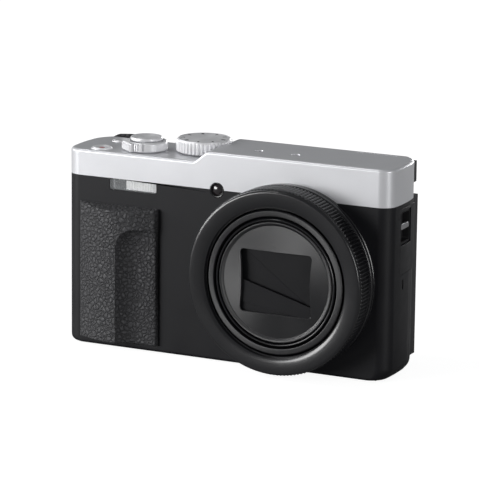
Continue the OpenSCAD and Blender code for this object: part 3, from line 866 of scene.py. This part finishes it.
def grip():
    """Grip pad: a sculpted cover with rounded borders and a moulded grain."""
    lo, hi = node_box("front_grip")
    bm = bmesh.new()
    bmesh.ops.create_grid(bm, x_segments=120, y_segments=190, size=0.5)
    cell = settings().body.grain
    for v in bm.verts:
        x = lo.x + 0.05 + (hi.x - lo.x - 0.1) * (v.co.x + 0.5)
        z = lo.z + 0.05 + (hi.z - lo.z - 0.1) * (v.co.y + 0.5)
        height = grip_height(x, z)
        border = min(x - lo.x, hi.x - x, z - lo.z, hi.z - z)
        if border < 0.8:
            height *= 0.55 + 0.45 * math.sqrt(max(0.0, 1 - (1 - border / 0.8) ** 2))
        near = noise.voronoi(Vector((x, height, z)) / cell)[0]
        pebble = min(1.0, (near[1] - near[0]) * 2.2)
        height = min(5.75, height - GRAIN_DEPTH * (1 - pebble))
        v.co = (x, FRONT_Y - height, z)
    border = [e for e in bm.edges if e.is_boundary]
    back = extrude(bm, border)
    for v in {v for e in back for v in e.verts}:
        v.co.y = FRONT_Y + 0.02
    close_back(bm, back)
    obj = to_object("grip_pad", bm)
    return piece(obj, "root", "front_grip", "grip", 60)


def ease(value, lo, hi):
    """Smooth step from 0 at lo to 1 at hi."""
    part = min(1.0, max(0.0, (value - lo) / (hi - lo)))
    return part * part * (3 - 2 * part)


def thumb_pad():
    """Thumb rest: a pad that wraps the rear corner and swells under the deck."""
    bm = bmesh.new()
    bmesh.ops.create_grid(bm, x_segments=96, y_segments=72, size=0.5)
    start, corner = math.radians(40), REAR_CORNER
    arc = corner * (math.pi / 2 - start)
    length = arc + 15.7
    cell = settings().body.grain
    base = {}
    for v in bm.verts:
        along, rise = (v.co.x + 0.5) * length, v.co.y + 0.5
        if along < arc:
            turn = start + along / corner
            y = REAR_Y - corner + corner * math.sin(turn)
            x = -HALF_W + corner - corner * math.cos(turn)
            out = Vector((-math.cos(turn), math.sin(turn), 0))
        else:
            y, x, out = REAR_Y, -HALF_W + corner + along - arc, Vector((0, 1, 0))
        x += (y - 0.5) ** 2 / SIDE_BOW
        top = 62.1 + 1.4 * ease(x, -53.0, -49.5) * (1 - ease(x, -44.5, -39.5))
        z = 47.5 + (top - 47.5) * rise
        swell = ease(along, 0.5, 6.5) * (1 - ease(along, 10.5, 18.0)) * ease(z, 48.5, 57.0)
        height = 0.55 + 2.9 * swell
        border = min(along, length - along, (z - 47.5), top - z)
        if border < 1.6:
            height *= math.sqrt(max(0.02, 1 - (1 - border / 1.6) ** 2))
        near = noise.voronoi(Vector((x, z, height)) / cell)[0]
        height -= GRAIN_DEPTH * (1 - min(1.0, (near[1] - near[0]) * 2.2))
        v.co = Vector((x, y, z)) + out * max(0.02, height)
        base[v] = Vector((x, y, z)) - out * 0.35
    rims = [e for e in bm.edges if e.is_boundary]
    inner = {v: base[v] for e in rims for v in e.verts}
    back = extrude(bm, rims)
    for v in {v for e in back for v in e.verts}:
        v.co = min(inner.items(), key=lambda pair: (pair[0].co - v.co).length)[1]
    close_back(bm, back)
    add("thumb_pad", bm, "root", "thumb_rest", "thumb", 60)


# ---------------------------------------------------------------- lens


def from_node(name):
    """A frame node's shape as a new piece to be refined, in mm."""
    bm = bmesh.new()
    bm.from_mesh(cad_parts[name].data)
    bmesh.ops.scale(bm, vec=Vector((1, 1, 1)) / MM, verts=bm.verts)
    bmesh.ops.remove_doubles(bm, verts=bm.verts, dist=0.002)
    bmesh.ops.dissolve_limit(
        bm, angle_limit=math.radians(1.0), use_dissolve_boundaries=False, verts=bm.verts, edges=bm.edges
    )
    return to_object(name + "_shape", bm)


def control_ring():
    """Control ring: flat front face, fine ribs, a groove and a rounded rim."""
    outer, back, front = RING_HI.z - LENS_Z, RING_HI.y, RING_LO.y
    lens = settings().lens
    profile = [
        (24.96, back), (24.96, front + 1.5), (23.7, front + 1.4), (23.7, front + 0.62), (24.9, front),
        (outer - 1.1, front), (outer - 0.72, front + 0.08), (outer - 0.42, front + 0.34),
        (outer - 0.3, front + 0.95), (outer - 0.6, front + 1.02), (outer - 0.6, front + 1.2),
        (outer - 0.3, front + 1.3), (outer, front + 1.55), (outer, front + 7.7),
        (outer - 0.4, front + 8.05), (outer - 0.8, front + 8.1), (outer - 0.8, front + 8.45),
        (outer - 0.05, front + 8.6), (outer - 0.05, back),
    ]
    bm = revolve(
        profile, LENS_AT, 1, lens.ribs * 8,
        ((5, 0.15), (6, 0.2), (7, 0.2), (17, 0.35), (18, 0.3)),
    )
    rib(bm, LENS, 1, lens.ribs, lens.rib_depth, front + 1.55, front + 7.7, outer, 1.8)
    add("control_ring_knurled", bm, "control_ring", "control_ring", "ring", 50)


def lens_flange():
    """Fixed flange behind the ring, with its guide tube."""
    y = RING_HI.y
    profile = [
        (23.2, RING_LO.y + 1.6), (24.8, RING_LO.y + 1.6), (24.8, y + 0.25), (28.6, y + 0.25),
        (28.95, y + 0.6), (28.95, FRONT_Y), (28.0, FRONT_Y), (28.0, -6.2), (23.2, -6.2),
    ]
    bm = revolve(profile, LENS_AT, 1, 256)
    add("flange_ring", bm, "root", "lens_flange", "ring")


def barrels():
    """The two zoom barrels with their turned front edges."""
    back, front = BARREL_HI.y, BARREL_LO.y
    outer = [
        (20.65, back), (20.65, front + 0.35), (20.8, front + 0.06), (21.0, front), (22.3, front),
        (22.68, front + 0.38), (22.68, front + 1.6), (22.4, front + 1.7), (22.4, front + 2.0),
        (22.68, front + 2.1), (22.68, 2.4), (23.08, 2.4), (23.08, back),
    ]
    bm = revolve(outer, LENS_AT, 1, 256, ((4, 0.08), (5, 0.08)))
    add("outer_barrel_turned", bm, "outer_barrel", "outer_barrel", "barrel_face")
    back, front = INNER_HI.y, INNER_LO.y
    inner = [
        (14.0, -14.4), (19.32, -14.4), (19.32, front + 0.3), (19.42, front + 0.05), (19.5, front),
        (19.75, front), (19.88, front + 0.12), (20.38, front + 1.2), (20.38, back), (19.32, back),
        (19.32, -13.4), (14.0, -13.4),
    ]
    bm = revolve(inner, LENS_AT, 1, 256, ((6, 0.05),))
    add("inner_barrel_turned", bm, "inner_barrel", "inner_barrel", "barrel")


def window_prism(y0, y1):
    """The lens window as a prism: rounded corners, and its two upright edges drawn in at the middle."""
    wide, low, high, waist = 12.2, -10.2, 9.6, 11.2
    corners = [(-wide, low), (wide, low), (waist, -0.4), (wide, high), (-wide, high), (-waist, -0.4)]
    bm = bmesh.new()
    verts = [bm.verts.new((LENS_X + x, y0, LENS_Z + z)) for x, z in corners]
    bm.faces.new(verts)
    for numbers, radius, steps in (((0, 1, 3, 4), 1.5, 6), ((2, 5), 6.5, 8)):
        bevel(bm, [verts[i] for i in numbers], radius, steps, "VERTICES", clamp=False)
    grown = bmesh.ops.extrude_face_region(bm, geom=bm.faces[:])["geom"]
    for v in [g for g in grown if isinstance(g, bmesh.types.BMVert)]:
        v.co.y = y1
    bmesh.ops.recalc_face_normals(bm, faces=bm.faces)
    return bm


def name_plate():
    """Front plate with a pinched window; its face falls slightly towards the rim, which stands up again."""
    front, back = PLATE_LO.y, PLATE_HI.y
    profile = [
        (0.0, back), (0.0, front), (9.0, front), (17.6, front + 0.75), (18.2, front + 0.1),
        (18.7, front), (18.93, front + 0.25), (18.93, back),
    ]
    obj = to_object("front_plate", revolve(profile, LENS_AT, 1, 192, ((4, 0.1), (5, 0.12))))
    carve(obj, window_prism(front - 1, back + 1))
    soften(obj, 0.45, 1, 50)
    piece(obj, "inner_barrel", "name_plate", "plate", 40)


def blades():
    """The four barrier blades with thin rounded edges."""
    for i in range(1, 5):
        obj = from_node(f"barrier_blade_{i}")
        bm = bmesh.new()
        bm.from_mesh(obj.data)
        front = min(v.co.y for v in bm.verts) + 0.01
        rims = [e for e in bm.edges if all(v.co.y < front for v in e.verts) and e.calc_face_angle(0) > 1.0]
        bevel(bm, rims, BLADE_EDGE, 2)
        bm.to_mesh(obj.data)
        bm.free()
        piece(obj, f"blade_{i}", f"barrier_blade_{i}", "blade", 30)


def front_lens():
    """Domed front element."""
    radius, centre_y = 24.8, 8.6
    steps = [13.5 * i / 10 for i in range(11)]
    profile = [(r, centre_y - math.sqrt(radius * radius - r * r)) for r in steps]
    profile += [(13.5, -10.8), (0.0, -10.8)]
    bm = revolve(profile, LENS_AT, 1, 96)
    add("front_element", bm, "inner_barrel", "front_lens", "front_glass")


# ---------------------------------------------------------------- controls


def dished(rim, dip, top, steps=8):
    """Profile points of a concave button top, from the rim to the middle."""
    points = []
    for i in range(steps + 1):
        r = rim * (1 - i / steps)
        points.append((r, top - dip * (1 - (r / rim) ** 2)))
    return points


def shutter_and_lever():
    """Shutter button with a turned, dished top and the zoom lever round it."""
    lo, hi, radius = node_round("shutter_button")
    profile = [
        (0.0, lo.z), (1.95, lo.z), (1.95, lo.z + 5.4), (radius - 0.3, lo.z + 5.4),
        (radius - 0.02, lo.z + 5.7), (radius - 0.02, hi.z - 0.35), (radius - 0.3, hi.z - 0.02),
    ]
    profile += dished(radius - 0.75, 0.42, hi.z - 0.02)
    bm = revolve(profile, SHUTTER, 2, 128, ((4, 0.1), (5, 0.12), (6, 0.08)))
    add("shutter_cap", bm, "shutter", "shutter_button", "shutter_top")
    low, top = DECK_LOW + 0.35, node_box("zoom_lever")[1].z
    profile = [
        (2.07, 60.4), (3.45, 60.4), (3.45, low), (6.2, low), (6.66, low + 0.4), (6.66, top - 0.55),
        (6.2, top - 0.05), (5.7, top - 0.02), (5.38, top - 0.3), (5.38, 65.05), (2.07, 65.05),
    ]
    body = to_object("lever", revolve(profile, SHUTTER, 2, 160, ((5, 0.2), (6, 0.2))))
    tab = bevel_all(box((5.6, -3.1, low), (7.05, 3.1, top - 0.1)), 0.45, 4)
    ribs = [rod((7.05, -2.55 + 0.85 * i, 0), 2, 0.33, low + 0.5, top - 0.55, 16) for i in range(7)]
    for bm in [tab] + ribs:
        turn_onto(bm, math.radians(232), SHUTTER)
    carve(body, tab, how="UNION")
    carve(body, join(*ribs), how="UNION")
    notches = []
    for angle, width in ((252, 0.2), (259, 0.2), (266, 0.2), (273, 0.2), (287, 0.42)):
        notch = box((6.1, -width, low + 0.5), (7.4, width, 70))
        turn_onto(notch, math.radians(angle), SHUTTER)
        notches.append(notch)
    carve(body, join(*notches))
    soften(body, 0.06, 2, 40)
    piece(body, "zoom_lever", "zoom_lever", "metal", 40)


def dial():
    """Mode dial: straight knurl, bevelled rim and a turned top with plain position marks."""
    lo, hi, radius = node_round("mode_dial")
    low = DECK_LOW + 0.4
    count = settings().controls.dial_ribs
    profile = [
        (0.0, low), (radius - 0.9, low), (radius - 0.45, low + 0.25), (radius - 0.02, low + 0.45),
        (radius - 0.02, hi.z - 0.8), (radius - 0.42, hi.z - 0.45), (radius - 0.5, hi.z - 0.3),
        (radius - 0.75, hi.z - 0.02), (radius - 1.0, hi.z - 0.02), (radius - 1.15, hi.z - 0.12),
        (0.0, hi.z - 0.12),
    ]
    bm = revolve(profile, DIAL, 2, count * 8, ((7, 0.05), (8, 0.05)))
    rib(bm, DIAL, 2, count, 0.5, low + 0.4, hi.z - 0.75, radius - 0.02, 2.5)
    add("dial_cap", bm, "mode_dial", "mode_dial", "dial_top", 45)
    marks = []
    for i in range(9):
        bm = bevel_all(box((radius - 2.9, -0.22, hi.z - 0.14), (radius - 1.6, 0.22, hi.z - 0.085)), 0.02, 1)
        if i % 3 == 0:
            bmesh.ops.scale(bm, vec=(1, 1.9, 1), verts=bm.verts)
        turn_onto(bm, math.tau * i / 9, DIAL)
        marks.append(bm)
    add("dial_marks", join(*marks), "mode_dial", None, "dark_ink")
    stem = revolve([(0, 60.4), (2.9, 60.4), (2.9, low + 0.1), (0, low + 0.1)], DIAL, 2, 48)
    add("dial_stem", stem, "mode_dial", None, "metal")


def round_button(name, node, at, dip, finish, red=0.0):
    """A dished round button on the top deck, with a red middle if asked."""
    lo, hi, radius = node_round(node)
    radius -= 0.03
    foot = lo.z + 0.02
    profile = [(0.0, foot), (radius, foot), (radius, hi.z - 0.3), (radius - 0.28, hi.z - 0.02)]
    profile += dished(radius - 0.6, dip, hi.z - 0.02, 10)
    bm = revolve(profile, at, 2, 96, ((2, 0.1), (3, 0.08)))
    add(name, bm, node.replace("_button", ""), node, finish)
    if red:
        top = hi.z - 0.02 - dip
        shape = [
            (0.0, top - 0.05), (red, top - 0.05), (red, top + 0.1), (red - 0.12, top + 0.16),
            (0.0, top + 0.2),
        ]
        bm = revolve(shape, at, 2, 64)
        add(name + "_dot", bm, node.replace("_button", ""), None, "red")


def top_details():
    """Index mark by the dial and the bezels round the two small buttons."""
    mark = bevel_all(box((-4.75, 8.62, DECK_HIGH - 0.02), (-3.1, 8.95, DECK_HIGH + 0.03)), 0.01, 1)
    add("index_mark", mark, "root", None, "ink")
    z = DECK_LOW
    for name, at, radius in (("record_bezel", RECORD, 3.12), ("power_bezel", POWER, 2.76)):
        profile = [
            (radius, z - 0.4), (radius + 0.45, z - 0.05), (radius + 0.4, z + 0.14),
            (radius + 0.12, z + 0.16), (radius, z + 0.05),
        ]
        bm = revolve(profile, at, 2, 96)
        add(name, bm, "root", None, "metal")


# ---------------------------------------------------------------- small outer parts


def flash():
    """Flash: clear window with fine upright ribs behind it, a trough reflector and its tube."""
    lo, hi = node_box("flash_window")
    pane = box((lo.x + 0.05, FRONT_Y + 0.06, lo.z + 0.05), (hi.x - 0.05, hi.y - 0.1, hi.z - 0.05))
    pane = to_object("flash_pane", bevel_along(pane, 1, 0.6, 5))
    soften(pane, 0.1, 2)
    piece(pane, "root", "flash_window", "glass")
    ribs = []
    x = lo.x + 5.6
    while x < hi.x - 0.5:
        ribs.append(rod((x, hi.y + 0.12, 0), 2, 0.26, lo.z + 0.25, hi.z - 0.25, 12))
        x += 0.56
    add("flash_diffuser", join(*ribs), "root", None, "diffuser")
    lo, hi = node_box("flash_unit")
    unit = to_object("flash_trough", box(lo, hi))
    trough = rod((0, lo.y + 0.1, 53.0), 0, 2.45, lo.x + 0.8, hi.x - 0.8, 64)
    middle = Matrix.Translation((0, -lo.y - 0.1, 0))
    bmesh.ops.scale(trough, vec=(1, 1.35, 1), space=middle, verts=trough.verts)
    carve(unit, trough)
    soften(unit, 0.1, 2)
    piece(unit, "root", "flash_unit", "reflector")
    tube = rod((0, lo.y + 1.7, 53.1), 0, 0.7, lo.x + 1.2, hi.x - 1.2, 32)
    add("flash_tube", tube, "root", None, "glass")
    ends = [rod((0, lo.y + 1.7, 53.1), 0, 0.86, a, a + 1.5, 32) for a in (lo.x + 0.9, hi.x - 2.4)]
    ends.append(bevel_all(box((lo.x + 3.3, lo.y - 0.05, 51.2), (lo.x + 3.9, lo.y + 1.6, 55.2)), 0.1, 2))
    add("flash_tube_ends", join(*ends), "root", None, "inner")


def lamp():
    """Autofocus lamp: dark glossy dome in a thin bezel."""
    at = node_centre("af_lamp")
    lo, hi = node_box("af_lamp")
    dome = [(1.85 * i / 8, lo.y + 0.12 + 0.55 * (i / 8) ** 2) for i in range(9)]
    bm = revolve(dome + [(1.85, lo.y + 1.6), (0.0, lo.y + 1.6)], at, 1, 64)
    add("lamp_dome", bm, "root", "af_lamp", "lamp")
    rim = [
        (1.88, lo.y + 2.2), (1.88, lo.y + 0.55), (2.0, lo.y + 0.05), (2.2, lo.y + 0.02),
        (2.38, lo.y + 0.2), (2.38, lo.y + 2.2),
    ]
    bm = revolve(rim, at, 1, 64)
    add("lamp_bezel", bm, "root", None, "ring")
    back = rod(at, 1, 1.7, lo.y + 1.6, hi.y, 32)
    add("lamp_back", back, "root", None, "inner")


def lugs():
    """Strap lugs: dark trays in the sides, each with a bright metal bar across."""
    trays, bars = [], []
    for side in (1, -1):
        x = HALF_W - 3.4 if side > 0 else -HALF_W + 0.7
        tray = to_object("tray", bevel_along(box((x, -0.9, 41.7), (x + 2.7, 7.3, 52.1)), 0, 1.0, 5))
        inner = (x + 0.6, x + 4) if side > 0 else (x - 1, x + 2.1)
        carve(tray, bevel_along(box((inner[0], -0.2, 42.4), (inner[1], 6.6, 51.4)), 0, 0.7, 5))
        soften(tray, 0.1, 2)
        bm = bmesh.new()
        bm.from_mesh(tray.data)
        bpy.data.objects.remove(tray)
        trays.append(bm)
        bar = (x + 1.2, x + 2.65) if side > 0 else (x + 0.05, x + 1.5)
        bars.append(bevel_along(box((bar[0], -0.25, 45.9), (bar[1], 6.65, 48.1)), 1, 0.55, 6))
    add("lug_trays", join(*trays), "root", "strap_lugs", "inner")
    add("lug_bars", join(*bars), "root", None, "lug")


def softened(name, node, body, finish, width, segments=2):
    """A frame node's shape with rounded edges and its own finish."""
    obj = from_node(node)
    obj.name = name
    soften(obj, width, segments)
    return piece(obj, body, node, finish, 40)


def rear_controls():
    """Rear dial, set button and the four small buttons."""
    lo, hi, radius = node_round("rear_dial")
    profile = [
        (4.65, lo.y), (6.95, lo.y), (6.95, lo.y + 1.8), (radius - 0.3, lo.y + 1.8),
        (radius - 0.02, lo.y + 2.1), (radius - 0.02, hi.y - 0.5), (radius - 0.4, hi.y - 0.05),
        (radius - 0.9, hi.y - 0.02), (5.6, hi.y - 0.35), (4.9, hi.y - 0.4), (4.65, hi.y - 0.6),
    ]
    bm = revolve(profile, WHEEL, 1, 480, ((5, 0.1), (6, 0.15), (7, 0.2)))
    rib(bm, WHEEL, 1, 60, 0.22, lo.y + 2.0, hi.y - 0.45, radius - 0.1)
    add("rear_wheel", bm, "rear_dial", "rear_dial", "plastic", 45)
    for name in ("set_button", "play_button", "menu_button", "delete_button", "display_button"):
        lo, hi = node_box(name)
        at, radius = (lo + hi) / 2, (hi.x - lo.x) / 2 - 0.03
        crown = [(radius * (1 - i / 8), hi.y - 0.02 - 0.3 * (1 - i / 8) ** 2) for i in range(9)]
        crown[0] = (radius - 0.15, hi.y - 0.28)
        profile = [(0.0, lo.y), (radius, lo.y), (radius, hi.y - 0.45)] + crown
        bm = revolve(profile, at, 1, 96, ((2, 0.08),))
        add(name + "_cap", bm, name, name, "plastic")
    ring = []
    for i in range(4):
        a = math.radians(90 * i)
        at = (WHEEL.x + 7.0 * math.cos(a), 0, WHEEL.z + 7.0 * math.sin(a))
        ring.append(rod(at, 1, 0.32, REAR_Y + 0.7, REAR_Y + 0.88, 20))
    add("rear_wheel_marks", join(*ring), "rear_dial", None, "ink")


def finder():
    """Finder eyepiece and the ribbed dioptre wheel beside it."""
    softened("eyepiece_surround", "eyepiece_frame", "root", "plastic", 0.5, 3)
    softened("eyepiece_element", "eyepiece_lens", "root", "eye_glass", 0.1)
    lo, hi = node_box("diopter_dial")
    at, radius = (lo + hi) / 2, (hi.x - lo.x) / 2 - 0.02
    profile = [
        (0.0, lo.y), (radius, lo.y), (radius, hi.y - 0.35), (radius - 0.35, hi.y - 0.02), (0.0, hi.y - 0.1),
    ]
    bm = revolve(profile, at, 1, 28 * 8, ((3, 0.1),))
    rib(bm, at, 1, 28, 0.2, lo.y + 0.5, hi.y - 0.3, radius)
    add("diopter_wheel", bm, "diopter_dial", "diopter_dial", "plastic", 45)


def monitor():
    """Monitor case, glass and the flip arm."""
    softened("monitor_shell", "monitor_frame", "monitor", "plastic", 0.35, 3)
    softened("monitor_pane", "monitor_glass", "monitor", "screen", 0.2, 2)
    softened("monitor_link", "monitor_arm", "monitor_arm", "plastic", 0.2, 2)


def doors():
    """Battery door, its lock slide, the door for the sockets and the side plate."""
    softened("battery_hatch", "battery_door", "battery_door", "black_base", 0.12)
    softened("battery_latch", "door_lock", "door_lock", "plastic", 0.06)
    softened("socket_hatch", "terminal_door", "terminal_door", "black", 0.1)
    softened("side_panel", "side_plate", "root", "black", 0.12)


# ---------------------------------------------------------------- operators


class CAMERA_OT_lens(bpy.types.Operator):
    """Build the lens: ring, flange, barrels, plate, blades and front element"""

    bl_idname = "pocket_camera.lens"
    bl_label = "Lens"

    def execute(self, context):
        control_ring()
        lens_flange()
        barrels()
        name_plate()
        blades()
        front_lens()
        return {"FINISHED"}


class CAMERA_OT_controls(bpy.types.Operator):
    """Build the controls on the top and the rear"""

    bl_idname = "pocket_camera.controls"
    bl_label = "Controls"

    def execute(self, context):
        shutter_and_lever()
        dial()
        round_button("record_cap", "record_button", RECORD, 0.55, "record_top", red=0.95)
        round_button("power_cap", "power_button", POWER, 0.4, "power_top")
        top_details()
        rear_controls()
        return {"FINISHED"}


class CAMERA_OT_fittings(bpy.types.Operator):
    """Build the flash, lamp, lugs, finder, monitor and doors"""

    bl_idname = "pocket_camera.fittings"
    bl_label = "Fittings"

    def execute(self, context):
        flash()
        lamp()
        lugs()
        finder()
        monitor()
        doors()
        return {"FINISHED"}


class CAMERA_OT_shells(bpy.types.Operator):
    """Build the top, front, rear and base shells"""

    bl_idname = "pocket_camera.shells"
    bl_label = "Shells"

    def execute(self, context):
        top_cover()
        front_cover()
        rear_cover()
        base_cover()
        return {"FINISHED"}


class CAMERA_OT_grip(bpy.types.Operator):
    """Build the grip pad and the thumb rest"""

    bl_idname = "pocket_camera.grip"
    bl_label = "Grip"

    def execute(self, context):
        grip()
        thumb_pad()
        return {"FINISHED"}


class CAMERA_OT_finishes(bpy.types.Operator):
    """Make the materials and put them on the frame nodes that stay"""

    bl_idname = "pocket_camera.finishes"
    bl_label = "Finishes"

    def execute(self, context):
        make_materials()
        for finish, names in NODE_FINISHES.items():
            for name in names:
                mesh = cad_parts[name].data
                mesh.materials.clear()
                mesh.materials.append(MATERIALS[finish])
        return {"FINISHED"}


NODE_FINISHES = {
    "steel": ("tripod_socket", "case_screws", "chassis", "hinge_pins", "card_slot", "zoom_motor"),
    "reflector": ("flash_unit",),
    "cap_blue": ("flash_capacitor", "memory_card"),
    "inner": ("lens_housing", "battery_case", "viewfinder_unit", "speaker", "cam_ring"),
    "plastic": (
        "monitor_arm", "eyepiece_frame", "monitor_frame", "diopter_dial", "rear_dial", "set_button",
        "play_button", "delete_button", "display_button", "menu_button", "door_lock",
    ),
    "front_glass": ("rear_lens_group", "image_sensor", "front_lens"),
    "board": ("main_board", "button_board"),
    "sleeve": ("battery_pack",),
    "black": ("front_cover", "rear_cover", "side_plate", "terminal_door"),
    "silver": ("top_cover",),
    "black_base": ("base_cover", "battery_door"),
    "grip": ("front_grip",),
    "thumb": ("thumb_rest",),
    "lug": ("strap_lugs",),
    "glass": ("flash_window",),
    "lamp": ("af_lamp",),
    "ring": ("lens_flange", "control_ring"),
    "eye_glass": ("eyepiece_lens",),
    "metal": ("shutter_button", "zoom_lever", "mode_dial", "record_button", "power_button"),
    "barrel": ("outer_barrel", "inner_barrel", "name_plate"),
    "blade": ("barrier_blade_1", "barrier_blade_2", "barrier_blade_3", "barrier_blade_4"),
    "screen": ("monitor_glass",),
}


# ---------------------------------------------------------------- stage


def view_camera():
    """The camera that looks at the front from the lens side, a little above."""
    azimuth, elevation, roll = map(math.radians, (25.6, 13.1, -0.62))
    level = math.cos(elevation)
    back = Vector((math.sin(azimuth) * level, -math.cos(azimuth) * level, math.sin(elevation)))
    right = Vector((math.cos(azimuth), math.sin(azimuth), 0.0))
    up = back.cross(right)
    across = right * math.cos(roll) - up * math.sin(roll)
    upward = right * math.sin(roll) + up * math.cos(roll)
    target = Vector((0.0, FRONT_Y, 34.0))
    place = (target + across * VIEW_SHIFT[0] + upward * VIEW_SHIFT[1] + back * VIEW_DISTANCE) * MM
    data = bpy.data.cameras.new("view_camera")
    data.sensor_width = 36.0
    data.lens = VIEW_LENS
    data.clip_start, data.clip_end = 0.05, 20.0
    cam = bpy.data.objects.new("view_camera", data)
    turn = Matrix((across, upward, back)).transposed().to_4x4()
    cam.matrix_world = Matrix.Translation(place) @ turn
    bpy.context.scene.collection.objects.link(cam)
    bpy.context.scene.camera = cam


def panel_light(name, place, target, size, power):
    """A soft rectangular light that faces the target."""
    data = bpy.data.lights.new(name, "AREA")
    data.shape = "RECTANGLE"
    data.size, data.size_y = size
    data.energy = power
    panel = bpy.data.objects.new(name, data)
    panel.location = place
    panel.rotation_euler = (Vector(target) - Vector(place)).to_track_quat("-Z", "Y").to_euler()
    bpy.context.scene.collection.objects.link(panel)


def floor_sheet():
    """A pale sheet that runs under and behind the camera."""
    bm = bmesh.new()
    bmesh.ops.create_grid(bm, x_segments=1, y_segments=1, size=6.0)
    floor = to_object("floor", bm)
    floor.location = (0, 0, -0.0002)
    paper = Finish("floor_paper", (0.36, 0.36, 0.36), 0.9, 0.0, 0.1, Emission_Color=(1, 1, 1, 1))
    seen = paper.node("LightPath").outputs["Is Camera Ray"]
    paper.feed(paper.maths("Math", "MULTIPLY", seen, 0.9).outputs["Value"], "Emission Strength")
    floor.data.materials.append(paper.material)


def surroundings(strength):
    """Even soft light, with a white backdrop behind the object."""
    world = bpy.data.worlds.new("studio")
    world.use_nodes = True
    nodes, links = world.node_tree.nodes, world.node_tree.links
    nodes.clear()
    out = nodes.new("ShaderNodeOutputWorld")
    path = nodes.new("ShaderNodeLightPath")
    white = fill(nodes.new("ShaderNodeBackground"), Color=(1, 1, 1, 1))
    soft = fill(nodes.new("ShaderNodeBackground"), Color=(0.96, 0.98, 1.0, 1), Strength=strength)
    mix = nodes.new("ShaderNodeMixShader")
    links.new(path.outputs["Is Camera Ray"], mix.inputs["Fac"])
    links.new(soft.outputs["Background"], mix.inputs[1])
    links.new(white.outputs["Background"], mix.inputs[2])
    links.new(mix.outputs["Shader"], out.inputs["Surface"])
    bpy.context.scene.world = world


class CAMERA_OT_stage(bpy.types.Operator):
    """Set up the view, the pale floor and the studio light"""

    bl_idname = "pocket_camera.stage"
    bl_label = "Stage"

    def execute(self, context):
        stage = settings().stage
        context.scene.view_settings.view_transform = "Standard"
        view_camera()
        floor_sheet()
        surroundings(stage.sky)
        panels = (
            ("key", (-0.88, -0.89, 0.17), (0.8, 0.5)),
            ("rim", (-1.08, -0.14, 0.37), (0.16, 0.5)),
            ("fill", (1.10, -0.55, 0.22), (0.4, 0.7)),
            ("back", (0.05, 1.25, 0.1), (0.8, 0.3)),
            ("top", (-0.36, -0.2, 0.8), (0.2, 0.08)),
        )
        for name, place, size in panels:
            panel_light(name + "_panel", place, (0, 0, 0.033), size, getattr(stage, name))
        return {"FINISHED"}


class CAMERA_PT_panel(bpy.types.Panel):
    """Lists the builders"""

    bl_label = "Pocket Camera"
    bl_idname = "CAMERA_PT_panel"
    bl_space_type = "VIEW_3D"
    bl_region_type = "UI"
    bl_category = "Pocket Camera"

    def draw(self, context):
        for builder in BUILDERS:
            self.layout.operator(builder.bl_idname)


BUILDERS = (
    CAMERA_OT_stage, CAMERA_OT_finishes, CAMERA_OT_shells, CAMERA_OT_grip, CAMERA_OT_lens,
    CAMERA_OT_controls, CAMERA_OT_fittings,
)
GROUPS = (BodySettings, LensSettings, ControlSettings, StageSettings, CameraSettings)
CLASSES = GROUPS + BUILDERS + (CAMERA_PT_panel,)


def register():
    for cls in CLASSES:
        bpy.utils.register_class(cls)
    bpy.types.Scene.pocket_camera = PointerProperty(type=CameraSettings)


def unregister():
    del bpy.types.Scene.pocket_camera
    for cls in reversed(CLASSES):
        bpy.utils.unregister_class(cls)


def main():
    register()
    for builder in BUILDERS:
        group, name = builder.bl_idname.split(".")
        getattr(getattr(bpy.ops, group), name)()


if __name__ == "__main__":
    main()
